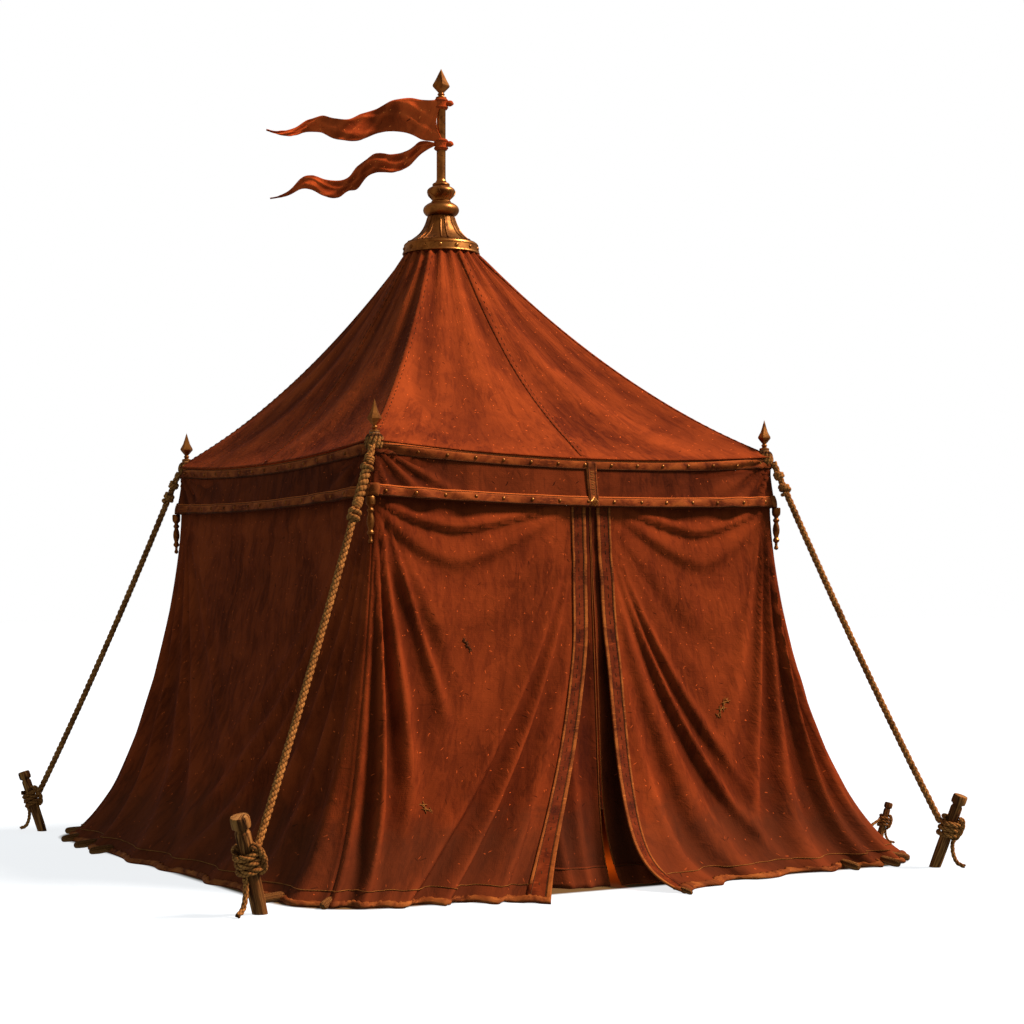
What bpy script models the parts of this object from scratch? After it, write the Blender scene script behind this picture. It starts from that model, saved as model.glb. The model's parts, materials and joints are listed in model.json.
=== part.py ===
"""A square campaign tent, as pitched on level ground.

A wooden mast in the middle carries a bronze crown that clamps the top of a four-sided
canvas roof. Four corner posts hold the eave. Canvas walls hang from the eave behind a
valance and flare out to the ground. The front is a door: two outer flaps over two
curtains with a slit between them. Four guy ropes run from the corners to wooden pegs.

Units are metres, +Z is up, and the mast foot stands at the origin. The door faces -Y.
"""
import math

import bmesh
import bpy
from mathutils import Matrix, Vector, noise

# Driving dimensions of the tent body
CENTRE = Vector((0.130, -0.075, 0.0))
POST_OFFSET = 1.355
POST_RADIUS = 0.030
CLOTH = 0.004
GAP = 0.0003
SEAM = GAP * 0.8
DIAGONAL = 2.0

# Heights of the eave and of the cloth that hangs from it
EAVE_CORNER = 2.460
EAVE_SAG = 0.055
WALL_TOP = 2.375
WALL_FREE = 2.150
VALANCE_BOTTOM = 2.150
VALANCE_SAG = 0.030
VALANCE_FLARE = 0.030
VALANCE_FLARE_TOP = 2.350

# Plan of the walls: half side and corner radius of the outer face, top and hem
WALL_HALF = 1.3905
WALL_CORNER = 0.0355
HEM_SPREAD = 0.690
HEM_CORNER = 0.4645

# Main folds of the walls. They fan out from both upper corners and are deepest at the
# hem, and shallow swags hang between the corners. Shares are of the wall's width.
FOLD_DEPTH = 0.058
FOLD_OUTWARD = 0.25
FOLD_GROWTH = 0.75
FOLD_INWARD = 0.17
FAN_CREASES = 7.0
FAN_EVENNESS = 0.62
FAN_REACH = 0.80
FAN_START = 0.08
FAN_OPENING = 1.3
FAN_MEETING = 0.26
FAN_FIRST_LINE = 0.012
FAN_KEY_STEP = 7.7
FAN_KEY_PHASE = 0.37
CREST_WANDER = 0.5
CREST_WANDER_RATE = 0.8
CREST_WANDER_ROW = 0.3
CREST_SHARPNESS = 1.7
CREST_SEARCH = 30
SWAG_DEPTH = 0.030
SWAG_FIRST = 0.17
SWAG_STEP = 2.0
SWAG_FADE = 0.80
SWAG_START = 0.03
SWAG_SLACK = 0.06
SWAG_ROUNDNESS = 1.5
SWAG_EVENNESS = 0.7
HELD_SHARE = 0.05
MIDDLE_COLUMNS = 3
FOLD_SEEDS = {"left": 3.1, "back": 5.6, "right": 8.4}

# Where the side line is tied the right wall's hem lies flat, between two lines of the fan
TIED_LINES = (0.150, 0.178)
TIED_CLEAR = 0.010
TIED_EASE = 0.030

# Roof
ROOF_HALF = 1.410
ROOF_CORNER = 0.055
ROOF_TOP = 3.790
ROOF_TOP_RADIUS = 0.232
ROOF_HOLLOW = 0.44
ROOF_DEPTH = CLOTH * 1.4

# Door: how far each flap stands out at the hem, and the path of its free edge
FLAP_BULGE = 0.150
CURTAIN_SPREAD = 0.460
CURTAIN_LEFT = -0.950
CURTAIN_RIGHT = 0.850

# Corner lashing, guy ropes and pegs
LASHING_RADIUS = 0.058
LASHING_BOTTOM = 2.390
LASHING_TOP = 2.505
ROPE_RADIUS = 0.023
ROPE_SAG = 0.045
PEG_LENGTH = 0.460
PEG_RADIUS = 0.034
PEG_LEAN = math.radians(20.0)
PEG_TURNS_AT = 0.260
PEG_TURNS_HALF = 0.062
PEG_TURNS_RADIUS = 0.072
PEG_FACETS = 10
TAIL_RADIUS = 0.013

# Where a guy rope leaves its lashing and first bends: out from the post, and height
ROPE_START = (0.057, 2.428)
ROPE_BEND = (0.079, 2.372)
ROPE_AT_PEG = 0.056

# Corner drops hang as close to the wall as they can, under the valance's edge
DROP_OUT = 0.073

# Corners in plan: the signs of the offset, the foot of the peg, and the peg's scale,
# because the pegs are cut by hand and none is as long as the next
CORNERS = {
    "front_left": ((-1, -1), (-2.178, -2.016), 1.18),
    "front_right": ((1, -1), (2.028, -2.352), 1.00),
    "back_left": ((-1, 1), (-1.940, 2.118), 0.93),
    "back_right": ((1, 1), (2.230, 2.080), 1.00),
}

# Small peg at the right wall, held by a short line to the hem
SIDE_PEG_FOOT = (2.470, -1.350)
SIDE_PEG_SCALE = 0.62
SIDE_LINE_RADIUS = 0.011

# Crown and mast top, heights from the ground
BAND_TOP = 3.862
SKIRT_TOP = 4.038
RING_TOP = 4.128
BALUSTER_TOP = 4.257
TUBE_TOP = 4.795
TUBE_RADIUS = 0.029
MAST_RADIUS = 0.045
TIP = 4.988

# Pennant
PENNANT_DIRECTION = math.radians(150.0)
TIE_TOP = 4.760
TIE_BOTTOM = 4.500
TIE_RADIUS = 0.045
TIE_HALF = 0.026
PENNANT_ROOT = TIE_RADIUS
PENNANT_WAVES = 14.0
PENNANT_BOW = 0.045
PENNANT_SHARED = 2

# The two tails, each as (distance from the mast, upper edge, lower edge)
UPPER_TAIL = [
    (PENNANT_ROOT, 4.770, 4.640), (0.110, 4.786, 4.590), (0.200, 4.800, 4.556), (0.310, 4.778, 4.570),
    (0.420, 4.722, 4.580), (0.500, 4.668, 4.548), (0.600, 4.660, 4.552), (0.700, 4.688, 4.592),
    (0.800, 4.700, 4.622), (0.900, 4.668, 4.610), (1.000, 4.612, 4.578), (1.090, 4.586, 4.578),
]
LOWER_TAIL = [
    (PENNANT_ROOT, 4.640, 4.490), (0.110, 4.590, 4.455), (0.200, 4.510, 4.385), (0.310, 4.468, 4.335),
    (0.420, 4.455, 4.325), (0.500, 4.405, 4.270), (0.600, 4.325, 4.195), (0.700, 4.282, 4.170),
    (0.800, 4.290, 4.188), (0.900, 4.272, 4.205), (1.000, 4.205, 4.172), (1.080, 4.178, 4.168),
]

ROUND = 20
SIDES = {
    "front": (Vector((0, -1, 0)), Vector((1, 0, 0))),
    "right": (Vector((1, 0, 0)), Vector((0, 1, 0))),
    "back": (Vector((0, 1, 0)), Vector((-1, 0, 0))),
    "left": (Vector((-1, 0, 0)), Vector((0, -1, 0))),
}
WALL_ROWS = (WALL_TOP, WALL_FREE, 1.80, 1.35, 0.95, 0.60, 0.35, 0.17, 0.06, 0.0)
CORNER_COLUMNS = (1.0, 1.33, 1.67, 2.0)
SIDE_COLUMNS = (-2.0, -1.67, -1.33, -1.0, -0.75, -0.5, -0.25, 0.0, 0.25, 0.5, 0.75, 1.0, 1.33, 1.67, 2.0)


def clear_scene():
    for item in list(bpy.data.objects):
        bpy.data.objects.remove(item, do_unlink=True)


def make_material(name, colour, roughness, metallic=0.0):
    material = bpy.data.materials.new(name)
    material.use_nodes = True
    shader = material.node_tree.nodes["Principled BSDF"]
    shader.inputs["Base Color"].default_value = (*colour, 1.0)
    shader.inputs["Roughness"].default_value = roughness
    shader.inputs["Metallic"].default_value = metallic
    return material


def new_object(name, bm, material, smooth=True):
    """Close a bmesh into a named object with its own copy of a material."""
    bmesh.ops.remove_doubles(bm, verts=bm.verts, dist=1e-6)
    bmesh.ops.recalc_face_normals(bm, faces=bm.faces)
    mesh = bpy.data.meshes.new(name)
    bm.to_mesh(mesh)
    bm.free()
    if smooth:
        mesh.shade_smooth()
        mesh.set_sharp_from_angle(angle=math.radians(40))
    own = material.copy()
    own.name = name
    mesh.materials.append(own)
    item = bpy.data.objects.new(name, mesh)
    bpy.context.scene.collection.objects.link(item)
    return item


def make_cutter(item):
    """A helper that only shapes other pieces and isn't part of the tent."""
    item.hide_render = True
    item.display_type = "WIRE"
    return item


def boolean(item, other, operation):
    modifier = item.modifiers.new(operation.lower(), "BOOLEAN")
    modifier.operation = operation
    modifier.solver = "EXACT"
    modifier.object = other


def turned(profile, steps=ROUND, close=False, place=None):
    """Spin a profile of (radius, height) points about the Z axis into a closed bmesh."""
    bm = bmesh.new()
    verts = [bm.verts.new((r, 0.0, z)) for r, z in profile]
    edges = [bm.edges.new(pair) for pair in zip(verts, verts[1:])]
    if close:
        edges.append(bm.edges.new((verts[-1], verts[0])))
    bmesh.ops.spin(
        bm, geom=verts + edges, axis=(0, 0, 1), cent=(0, 0, 0),
        angle=math.tau, steps=steps, use_merge=True,
    )
    bmesh.ops.remove_doubles(bm, verts=bm.verts, dist=1e-5)
    if place is not None:
        bm.transform(place)
    return bm


def sheet(outer, inner):
    """A closed solid between two grids of points that face each other."""
    bm = bmesh.new()
    out = [[bm.verts.new(p) for p in row] for row in outer]
    back = [[bm.verts.new(p) for p in row] for row in inner]
    rows = len(out)
    columns = len(out[0])
    for i in range(rows - 1):
        for j in range(columns - 1):
            bm.faces.new((out[i][j], out[i][j + 1], out[i + 1][j + 1], out[i + 1][j]))
            bm.faces.new((back[i][j], back[i + 1][j], back[i + 1][j + 1], back[i][j + 1]))
    for i in range(rows - 1):
        for j in (0, columns - 1):
            bm.faces.new((out[i][j], out[i + 1][j], back[i + 1][j], back[i][j]))
    for j in range(columns - 1):
        for i in (0, rows - 1):
            bm.faces.new((out[i][j], back[i][j], back[i][j + 1], out[i][j + 1]))
    return bm


def ring_of_points(centre, direction, radius, sides):
    turn = Vector(direction).to_track_quat("Z", "Y").to_matrix()
    points = []
    for k in range(sides):
        angle = math.tau * k / sides
        points.append(Vector(centre) + turn @ Vector((radius * math.cos(angle), radius * math.sin(angle), 0)))
    return points


def slide_to_plane(points, direction, plane_point, plane_normal):
    """Move points along a direction until they lie on a plane."""
    moved = []
    for point in points:
        step = (plane_point - point).dot(plane_normal) / direction.dot(plane_normal)
        moved.append(point + direction * step)
    return moved


def tube(path, radius, sides=8, end_plane=None):
    """A round bar along a path; its last ring may be laid on a plane."""
    bm = bmesh.new()
    rings = []
    for i, point in enumerate(path):
        ahead = path[min(i + 1, len(path) - 1)] - path[max(i - 1, 0)]
        points = ring_of_points(point, ahead.normalized(), radius, sides)
        if end_plane is not None and i == len(path) - 1:
            points = slide_to_plane(points, ahead.normalized(), *end_plane)
        rings.append([bm.verts.new(p) for p in points])
    for lower, upper in zip(rings, rings[1:]):
        for k in range(sides):
            after = (k + 1) % sides
            bm.faces.new((lower[k], lower[after], upper[after], upper[k]))
    bm.faces.new(list(reversed(rings[0])))
    bm.faces.new(rings[-1])
    return bm


def smooth_route(points, count):
    """Points read from a smooth curve through a route's own points."""
    points = [Vector(p) for p in points]
    padded = [points[0] * 2 - points[1]] + points + [points[-1] * 2 - points[-2]]
    route = []
    for n in range(count + 1):
        where = n / count * (len(points) - 1)
        i = min(int(where), len(points) - 2)
        t = where - i
        a, b, c, d = padded[i:i + 4]
        route.append(
            0.5 * (2 * b + (c - a) * t + (2 * a - 5 * b + 4 * c - d) * t * t
                   + (3 * b - a - 3 * c + d) * t ** 3)
        )
    return route


def fallen(z):
    """Share of the way down from where the wall hangs free, 1 at the ground."""
    return max(0.0, 1.0 - z / WALL_FREE)


def flare(z):
    """How far the wall has spread at a height: 0 under the eave, 1 at the hem."""
    u = fallen(z)
    return 0.72 * u ** 1.6 + 0.28 * u ** 9


def outline(half, corner, q):
    """A point on one side of a rounded square: its distance along the side and outward.

    q from -1 to 1 runs along the straight stretch, and on to -2 or 2 round the corner
    as far as the diagonal, where the cloth stops a little short of its neighbour.
    """
    straight = half - corner
    if abs(q) <= 1:
        return straight * q, half
    angle = (abs(q) - 1) * math.pi / 4
    along = straight + corner * math.sin(angle)
    out = straight + corner * math.cos(angle)
    if abs(q) == DIAGONAL:
        along -= SEAM
    return math.copysign(along, q), out


def on_side(side, along, out, z):
    normal, tangent = SIDES[side]
    return CENTRE + normal * out + tangent * along + Vector((0, 0, z))


def steps_between(first, last, count):
    return [first + (last - first) * k / count for k in range(count + 1)]


def wall_plan(z, inset):
    """Half side and corner radius of the wall; inset is 0 outside and the cloth's thickness inside."""
    return WALL_HALF + HEM_SPREAD * flare(z) - inset, WALL_CORNER + HEM_CORNER * flare(z) - inset


def smooth_step(x):
    x = min(max(x, 0.0), 1.0)
    return x * x * (3 - 2 * x)


def wandered(x, seed):
    """A place across a fan, moved a little so that no two folds are equally wide."""
    return x + CREST_WANDER * noise.noise((x * CREST_WANDER_RATE, seed, CREST_WANDER_ROW))


def crest(x, seed):
    """Folds across a line, about one to a unit: sharp crests, round hollows, -1 to 1."""
    return 2.0 * (0.5 + 0.5 * math.cos(math.tau * wandered(x, seed))) ** CREST_SHARPNESS - 1.0


def fan_spread(z):
    return fallen(z) ** FAN_OPENING + FAN_START


def fan_keys(side):
    seed = FOLD_SEEDS[side]
    return seed, seed + FAN_KEY_STEP


def fan_lines(side, key):
    """The crests and hollows of a fan, as places on its spread, up to the wall's middle."""
    start = key * FAN_KEY_PHASE
    half_turns = math.floor(2 * wandered(start, key)) + 1
    lines = []
    while True:
        x = half_turns / 2
        for _ in range(CREST_SEARCH):
            x = half_turns / 2 - (wandered(x, key) - x)
        half_turns += 1
        line = max((x - start) / FAN_CREASES, 0.0) ** (1 / FAN_EVENNESS)
        if line * fan_spread(0.0) > 0.5 - FAN_FIRST_LINE:
            break
        if line > FAN_FIRST_LINE:
            lines.append(line)
    if side == "right" and key == FOLD_SEEDS[side]:
        low, high = TIED_LINES[0] - TIED_CLEAR, TIED_LINES[1] + TIED_CLEAR
        lines = [line for line in lines if not low < line < high]
        lines = sorted(lines + list(TIED_LINES))
    return lines


def fold(side, t, z):
    """How far a wall's cloth stands out at a share of its width and a height."""
    fall = fallen(z)
    beyond = smooth_step((t - 0.5) / FAN_MEETING + 0.5)
    total = 0.0
    for near, key, weight in zip((t, 1 - t), fan_keys(side), (1 - beyond, beyond)):
        line = max(near, 0.0) / fan_spread(z)
        fade = math.exp(-(line / FAN_REACH) ** 4)
        total += weight * fade * crest(FAN_CREASES * line ** FAN_EVENNESS + key * FAN_KEY_PHASE, key)
    across = max(4 * t * (1 - t), 0.0)
    hang = (max(WALL_FREE - z, 0.0) + SWAG_START) / (across + SWAG_SLACK)
    swag = 0.5 + 0.5 * math.cos(math.tau * math.log(hang / SWAG_FIRST) / math.log(SWAG_STEP))
    swag = swag ** SWAG_ROUNDNESS * math.exp(-hang / SWAG_FADE) * across ** SWAG_EVENNESS
    out = FOLD_DEPTH * (total + FOLD_OUTWARD) * fall ** FOLD_GROWTH + SWAG_DEPTH * swag
    out *= smooth_step(t / HELD_SHARE) * smooth_step((1 - t) / HELD_SHARE)
    if side == "right":
        half_lane = (TIED_LINES[1] - TIED_LINES[0]) / 2
        from_tie = abs(t / fan_spread(z) - TIED_LINES[0] - half_lane)
        out *= smooth_step((from_tie - half_lane) / TIED_EASE)
    return max(out, -FOLD_INWARD * flare(z))


def wall_point(side, t, z, lift):
    """A point of a wall at a share of its width, lifted off the even shape."""
    half, corner = wall_plan(z, 0.0)
    straight = half - corner
    walk = (2 * t - 1) * (straight + corner * math.pi / 4)
    if abs(walk) <= straight:
        return on_side(side, walk, half + lift, z)
    angle = (abs(walk) - straight) / corner
    along = straight + (corner + lift) * math.sin(angle)
    if t in (0.0, 1.0):
        along -= SEAM
    out = straight + (corner + lift) * math.cos(angle)
    return on_side(side, math.copysign(along, walk), out, z)


def build_wall(side, material):
    """A wall: even behind the valance, and folded from there down to the hem."""
    first, last = (fan_lines(side, key) for key in fan_keys(side))
    count = len(first) + len(last) + MIDDLE_COLUMNS + 2
    straight_columns = steps_between(-1.0, 1.0, count - 2 * len(CORNER_COLUMNS) + 1)[1:-1]
    top_columns = [-q for q in reversed(CORNER_COLUMNS)] + straight_columns + list(CORNER_COLUMNS)
    faces = []
    for inset in (0.0, CLOTH):
        face = []
        for z in WALL_ROWS:
            if z >= WALL_FREE:
                row = [on_side(side, *outline(*wall_plan(z, inset), q), z) for q in top_columns]
            else:
                spread = fan_spread(z)
                left = [line * spread for line in first]
                right = [1 - line * spread for line in reversed(last)]
                between = steps_between(left[-1], right[0], MIDDLE_COLUMNS + 1)[1:-1]
                row = [
                    wall_point(side, t, z, fold(side, t, z) - inset)
                    for t in [0.0] + left + between + right + [1.0]
                ]
            face.append(row)
        faces.append(face)
    new_object("wall_" + side, sheet(*faces), material)


def left_flap_edge(z):
    u = fallen(z)
    return 0.005 - 0.735 * u ** 2.5


def right_flap_edge(z):
    u = fallen(z)
    return 0.085 - 0.200 * u ** 2.6 + 0.200 * u ** 30


def build_flap(name, corner_sign, edge, material):
    """An outer door flap, from its corner of the front wall to its free edge."""
    shares = [0.12, 0.25, 0.40, 0.55, 0.70, 0.82, 0.92, 1.0]
    faces = []
    for inset in (0.0, CLOTH):
        face = []
        for z in WALL_ROWS:
            u = fallen(z)
            half, corner = wall_plan(z, inset)
            row = [outline(half, corner, corner_sign * q) for q in reversed(CORNER_COLUMNS)]
            first = corner_sign * (half - corner)
            for share in shares:
                row.append((first + (edge(z) - first) * share, half + FLAP_BULGE * u ** 3 * share ** 2))
            face.append([on_side("front", along, out, z) for along, out in row])
        faces.append(face)
    new_object(name, sheet(*faces), material)


def slit_centre(z):
    u = fallen(z)
    return 0.045 - 0.235 * u ** 2.2


def slit_width(z):
    u = fallen(z)
    return 0.001 + 0.056 * u ** 3


def build_curtain(name, sign, far_edge, material):
    """A door curtain, from the slit to its far edge behind a flap."""
    shares = steps_between(0.0, 1.0, 6)
    face = WALL_HALF - CLOTH - GAP
    grids = []
    for inset in (0.0, CLOTH):
        grid = []
        for z in WALL_ROWS:
            near = slit_centre(z) + sign * slit_width(z) / 2
            out = face + CURTAIN_SPREAD * flare(z) - inset
            grid.append([on_side("front", near + (far_edge - near) * q, out, z) for q in shares])
        grids.append(grid)
    new_object(name, sheet(*grids), material)


def eave_drop(q):
    """How far the eave sags at a place along a side, none at the corners."""
    return 1 - min(abs(q), 1.0) ** 2


def roof_point(side, q, t):
    """Point on the roof's upper face, t from 0 at the crown to 1 at the eave."""
    eave = on_side(side, *outline(ROOF_HALF, ROOF_CORNER, q), 0.0)
    normal, tangent = SIDES[side]
    straight = ROOF_HALF - ROOF_CORNER
    arc = ROOF_CORNER * math.pi / 4
    walked = min(abs(q), 1.0) * straight + max(abs(q) - 1.0, 0.0) * arc
    angle = math.copysign(walked / (straight + arc), q) * math.pi / 4
    top = (normal * math.cos(angle) + tangent * math.sin(angle)) * ROOF_TOP_RADIUS
    if abs(q) == DIAGONAL:
        top -= tangent * math.copysign(SEAM, q)
    low = EAVE_CORNER - EAVE_SAG * eave_drop(q)
    height = low + (ROOF_TOP - low) * ((1 - t) - ROOF_HOLLOW * t * (1 - t))
    flat = top.lerp(eave, t)
    return Vector((flat.x, flat.y, height))


def build_roof(side, drums, material):
    rows = [0.0, 0.08, 0.2, 0.36, 0.55, 0.76, 0.9, 1.0]
    outer = [[roof_point(side, q, t) for q in SIDE_COLUMNS] for t in rows]
    inner = [[p - Vector((0, 0, ROOF_DEPTH)) for p in row] for row in outer]
    item = new_object("roof_" + side, sheet(outer, inner), material)
    for drum in drums:
        boolean(item, drum, "DIFFERENCE")


def valance_face(z):
    low = max(0.0, VALANCE_FLARE_TOP - z) / (VALANCE_FLARE_TOP - VALANCE_BOTTOM)
    return WALL_HALF + GAP + VALANCE_FLARE * low ** 1.3


def build_valance(side, drums, material):
    """The band that hangs from the eave in front of the wall's top."""
    faces = []
    for thick in (CLOTH, 0.0):
        face = []
        for share in (0.0, 0.25, 0.5, 0.75, 1.0):
            row = []
            for q in SIDE_COLUMNS:
                top = EAVE_CORNER - EAVE_SAG * eave_drop(q) - ROOF_DEPTH - GAP
                bottom = VALANCE_BOTTOM - VALANCE_SAG * eave_drop(q)
                z = top + (bottom - top) * share
                place = outline(valance_face(z) + thick, WALL_CORNER + GAP + thick, q)
                row.append(on_side(side, *place, z))
            face.append(row)
        faces.append(face)
    item = new_object("valance_" + side, sheet(*faces), material)
    for drum in drums:
        boolean(item, drum, "DIFFERENCE")


def post_axis(signs):
    return CENTRE + Vector((signs[0] * POST_OFFSET, signs[1] * POST_OFFSET, 0))


def lashing_profile(inner, outer, low, high):
    """Section of rope turns round a post, with a flat top and bottom."""
    third = (high - low) / 3
    waist = outer - 0.010
    return [
        (inner, low), (outer - 0.016, low), (outer, low + third / 2), (waist, low + third),
        (outer, low + third * 1.5), (waist, low + third * 2), (outer, high - third / 2),
        (outer - 0.016, high), (inner, high),
    ]


def build_corner(name, signs, wood, bronze):
    place = Matrix.Translation(post_axis(signs))
    post = [(0, 0), (POST_RADIUS, 0), (POST_RADIUS, LASHING_TOP), (0, LASHING_TOP)]
    new_object("corner_post_" + name, turned(post, 16, place=place), wood)
    foot = LASHING_TOP + GAP
    spear = [
        (0, foot), (0.029, foot), (0.029, foot + 0.012), (0.014, foot + 0.020),
        (0.017, foot + 0.028), (0.012, foot + 0.038), (0.040, foot + 0.072),
        (0.041, foot + 0.080), (0.020, foot + 0.120), (0, foot + 0.185),
    ]
    new_object("corner_finial_" + name, turned(spear, 12, place=place), bronze)


def build_drop(name, signs, bronze):
    """A turned toggle that hangs under the valance at a corner."""
    outward = Vector((signs[0], signs[1], 0)).normalized()
    place = Matrix.Translation(post_axis(signs) + outward * DROP_OUT)
    top = VALANCE_BOTTOM - GAP
    shape = [
        (0, top), (0.027, top), (0.026, top - 0.045), (0.012, top - 0.060), (0.019, top - 0.075),
        (0.014, top - 0.092), (0.021, top - 0.135), (0.013, top - 0.180), (0.019, top - 0.195),
        (0.010, top - 0.215), (0.013, top - 0.250), (0, top - 0.262),
    ]
    new_object("corner_drop_" + name, turned(shape, 12, place=place), bronze)


def peg_frame(foot, lean_direction):
    """Placement of a peg: its Z axis runs up the leaning shaft from the ground."""
    outward = Vector((lean_direction[0], lean_direction[1], 0)).normalized()
    axis = outward * math.sin(PEG_LEAN) + Vector((0, 0, math.cos(PEG_LEAN)))
    side = axis.cross(outward).normalized()
    front = side.cross(axis)
    turn = Matrix((front, side, axis)).transposed().to_4x4()
    return Matrix.Translation(Vector((foot[0], foot[1], 0))) @ turn, axis, outward


def build_peg(name, frame, axis, scale, wood):
    """A wooden peg with a wider head, cut flat where it enters the ground."""
    radius = PEG_RADIUS * scale
    head = radius * 1.28
    length = PEG_LENGTH * scale
    origin = frame.translation
    heights = [(0.0, radius), (length - 0.052 * scale, radius), (length - 0.052 * scale, head),
               (length - 0.012 * scale, head), (length, head * 0.8)]
    bm = bmesh.new()
    rings = []
    for height, size in heights:
        points = ring_of_points(origin + axis * height, axis, size, PEG_FACETS)
        if height == 0.0:
            points = slide_to_plane(points, axis, Vector((0, 0, 0)), Vector((0, 0, 1)))
        rings.append([bm.verts.new(p) for p in points])
    for lower, upper in zip(rings, rings[1:]):
        for k in range(PEG_FACETS):
            after = (k + 1) % PEG_FACETS
            bm.faces.new((lower[k], lower[after], upper[after], upper[k]))
    bm.faces.new(list(reversed(rings[0])))
    bm.faces.new(rings[-1])
    new_object("peg_" + name, bm, wood, smooth=False)


def turns_on_peg(name, frame, scale, material):
    """The rope turns round a peg, as a ring about its shaft."""
    profile = lashing_profile(
        (PEG_RADIUS + 0.001) * scale, PEG_TURNS_RADIUS * scale,
        (PEG_TURNS_AT - PEG_TURNS_HALF) * scale, (PEG_TURNS_AT + PEG_TURNS_HALF) * scale,
    )
    return new_object(name, turned(profile, 14, close=True, place=frame), material)


def guy_route(signs, frame, axis, scale):
    """The rope's centre line, from inside its lashing to the turns on the peg."""
    post = post_axis(signs)
    outward = Vector((signs[0], signs[1], 0)).normalized()
    knot = frame.translation + axis * PEG_TURNS_AT * scale
    start = post + outward * ROPE_START[0] + Vector((0, 0, ROPE_START[1]))
    bend = post + outward * ROPE_BEND[0] + Vector((0, 0, ROPE_BEND[1]))
    back = (bend - knot).normalized()
    away = back - axis * back.dot(axis)
    end = knot + away.normalized() * ROPE_AT_PEG * scale
    run = []
    for k in range(1, 7):
        t = k / 6
        point = bend.lerp(end, t)
        point.z -= ROPE_SAG * 4 * t * (1 - t)
        run.append(point)
    return [start, bend] + run


def build_guy(name, signs, frame, axis, scale, rope):
    """One guy rope: its lashing on the post, its run, and its turns on the peg."""
    item = new_object("guy_rope_" + name, tube(guy_route(signs, frame, axis, scale), ROPE_RADIUS), rope)
    profile = lashing_profile(POST_RADIUS + 0.001, LASHING_RADIUS, LASHING_BOTTOM, LASHING_TOP)
    place = Matrix.Translation(post_axis(signs))
    top = new_object("lashing_shape_" + name, turned(profile, 16, close=True, place=place), rope)
    low = turns_on_peg("turns_shape_" + name, frame, scale, rope)
    for helper in (top, low):
        boolean(item, make_cutter(helper), "UNION")


def tail_route(frame, axis, outward, scale):
    """The free rope end: out of the turns, down the outer side, and onto the ground."""
    low = PEG_TURNS_AT - PEG_TURNS_HALF
    front = frame.col[0].to_3d()
    start = frame.translation + (front * 0.051 + axis * (low - GAP)) * scale
    drop = start - axis * 0.030 * scale
    floor = TAIL_RADIUS * scale + 0.001
    return [
        start, drop,
        Vector((drop.x, drop.y, 0)) + outward * 0.006 + Vector((0, 0, start.z * 0.50)),
        Vector((drop.x, drop.y, 0)) + outward * 0.030 + Vector((0, 0, start.z * 0.20)),
        Vector((drop.x, drop.y, 0)) + outward * 0.075 + Vector((0, 0, floor)),
    ]


def build_tail(name, frame, axis, outward, scale, rope):
    route = tail_route(frame, axis, outward, scale)
    points = route[:1] + smooth_route(route[1:], 9)
    curve = bpy.data.curves.new("rope_tail_" + name, "CURVE")
    curve.dimensions = "3D"
    curve.bevel_depth = TAIL_RADIUS * scale
    curve.bevel_resolution = 2
    curve.use_fill_caps = True
    spline = curve.splines.new("POLY")
    spline.points.add(len(points) - 1)
    for spot, point in zip(spline.points, points):
        spot.co = (*point, 1.0)
    own = rope.copy()
    own.name = "rope_tail_" + name
    curve.materials.append(own)
    item = bpy.data.objects.new("rope_tail_" + name, curve)
    bpy.context.scene.collection.objects.link(item)


def build_side_peg(wood, rope):
    """The small peg at the right wall with its short line to the hem."""
    frame, axis, outward = peg_frame(SIDE_PEG_FOOT, (1, 0))
    build_peg("side", frame, axis, SIDE_PEG_SCALE, wood)
    build_tail("side", frame, axis, outward, SIDE_PEG_SCALE, rope)
    knot = frame.translation + axis * PEG_TURNS_AT * SIDE_PEG_SCALE
    upper_z, lower_z = WALL_ROWS[-2], WALL_ROWS[-1]
    upper = CENTRE.x + WALL_HALF + HEM_SPREAD * flare(upper_z)
    lower = CENTRE.x + WALL_HALF + HEM_SPREAD * flare(lower_z)
    slope = Vector((upper_z - lower_z, 0, lower - upper)).normalized()
    hem = Vector(((upper + lower) / 2, SIDE_PEG_FOOT[1], (upper_z + lower_z) / 2)) + slope * GAP * 1.5
    run = hem - knot
    away = (run - axis * run.dot(axis)).normalized()
    start = knot + away * 0.037
    middle = start.lerp(hem, 0.5) - Vector((0, 0, 0.006))
    item = new_object("side_line", tube([start, middle, hem], SIDE_LINE_RADIUS, 8, (hem, slope)), rope)
    turns = turns_on_peg("turns_shape_side", frame, SIDE_PEG_SCALE, rope)
    boolean(item, make_cutter(turns), "UNION")


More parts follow.
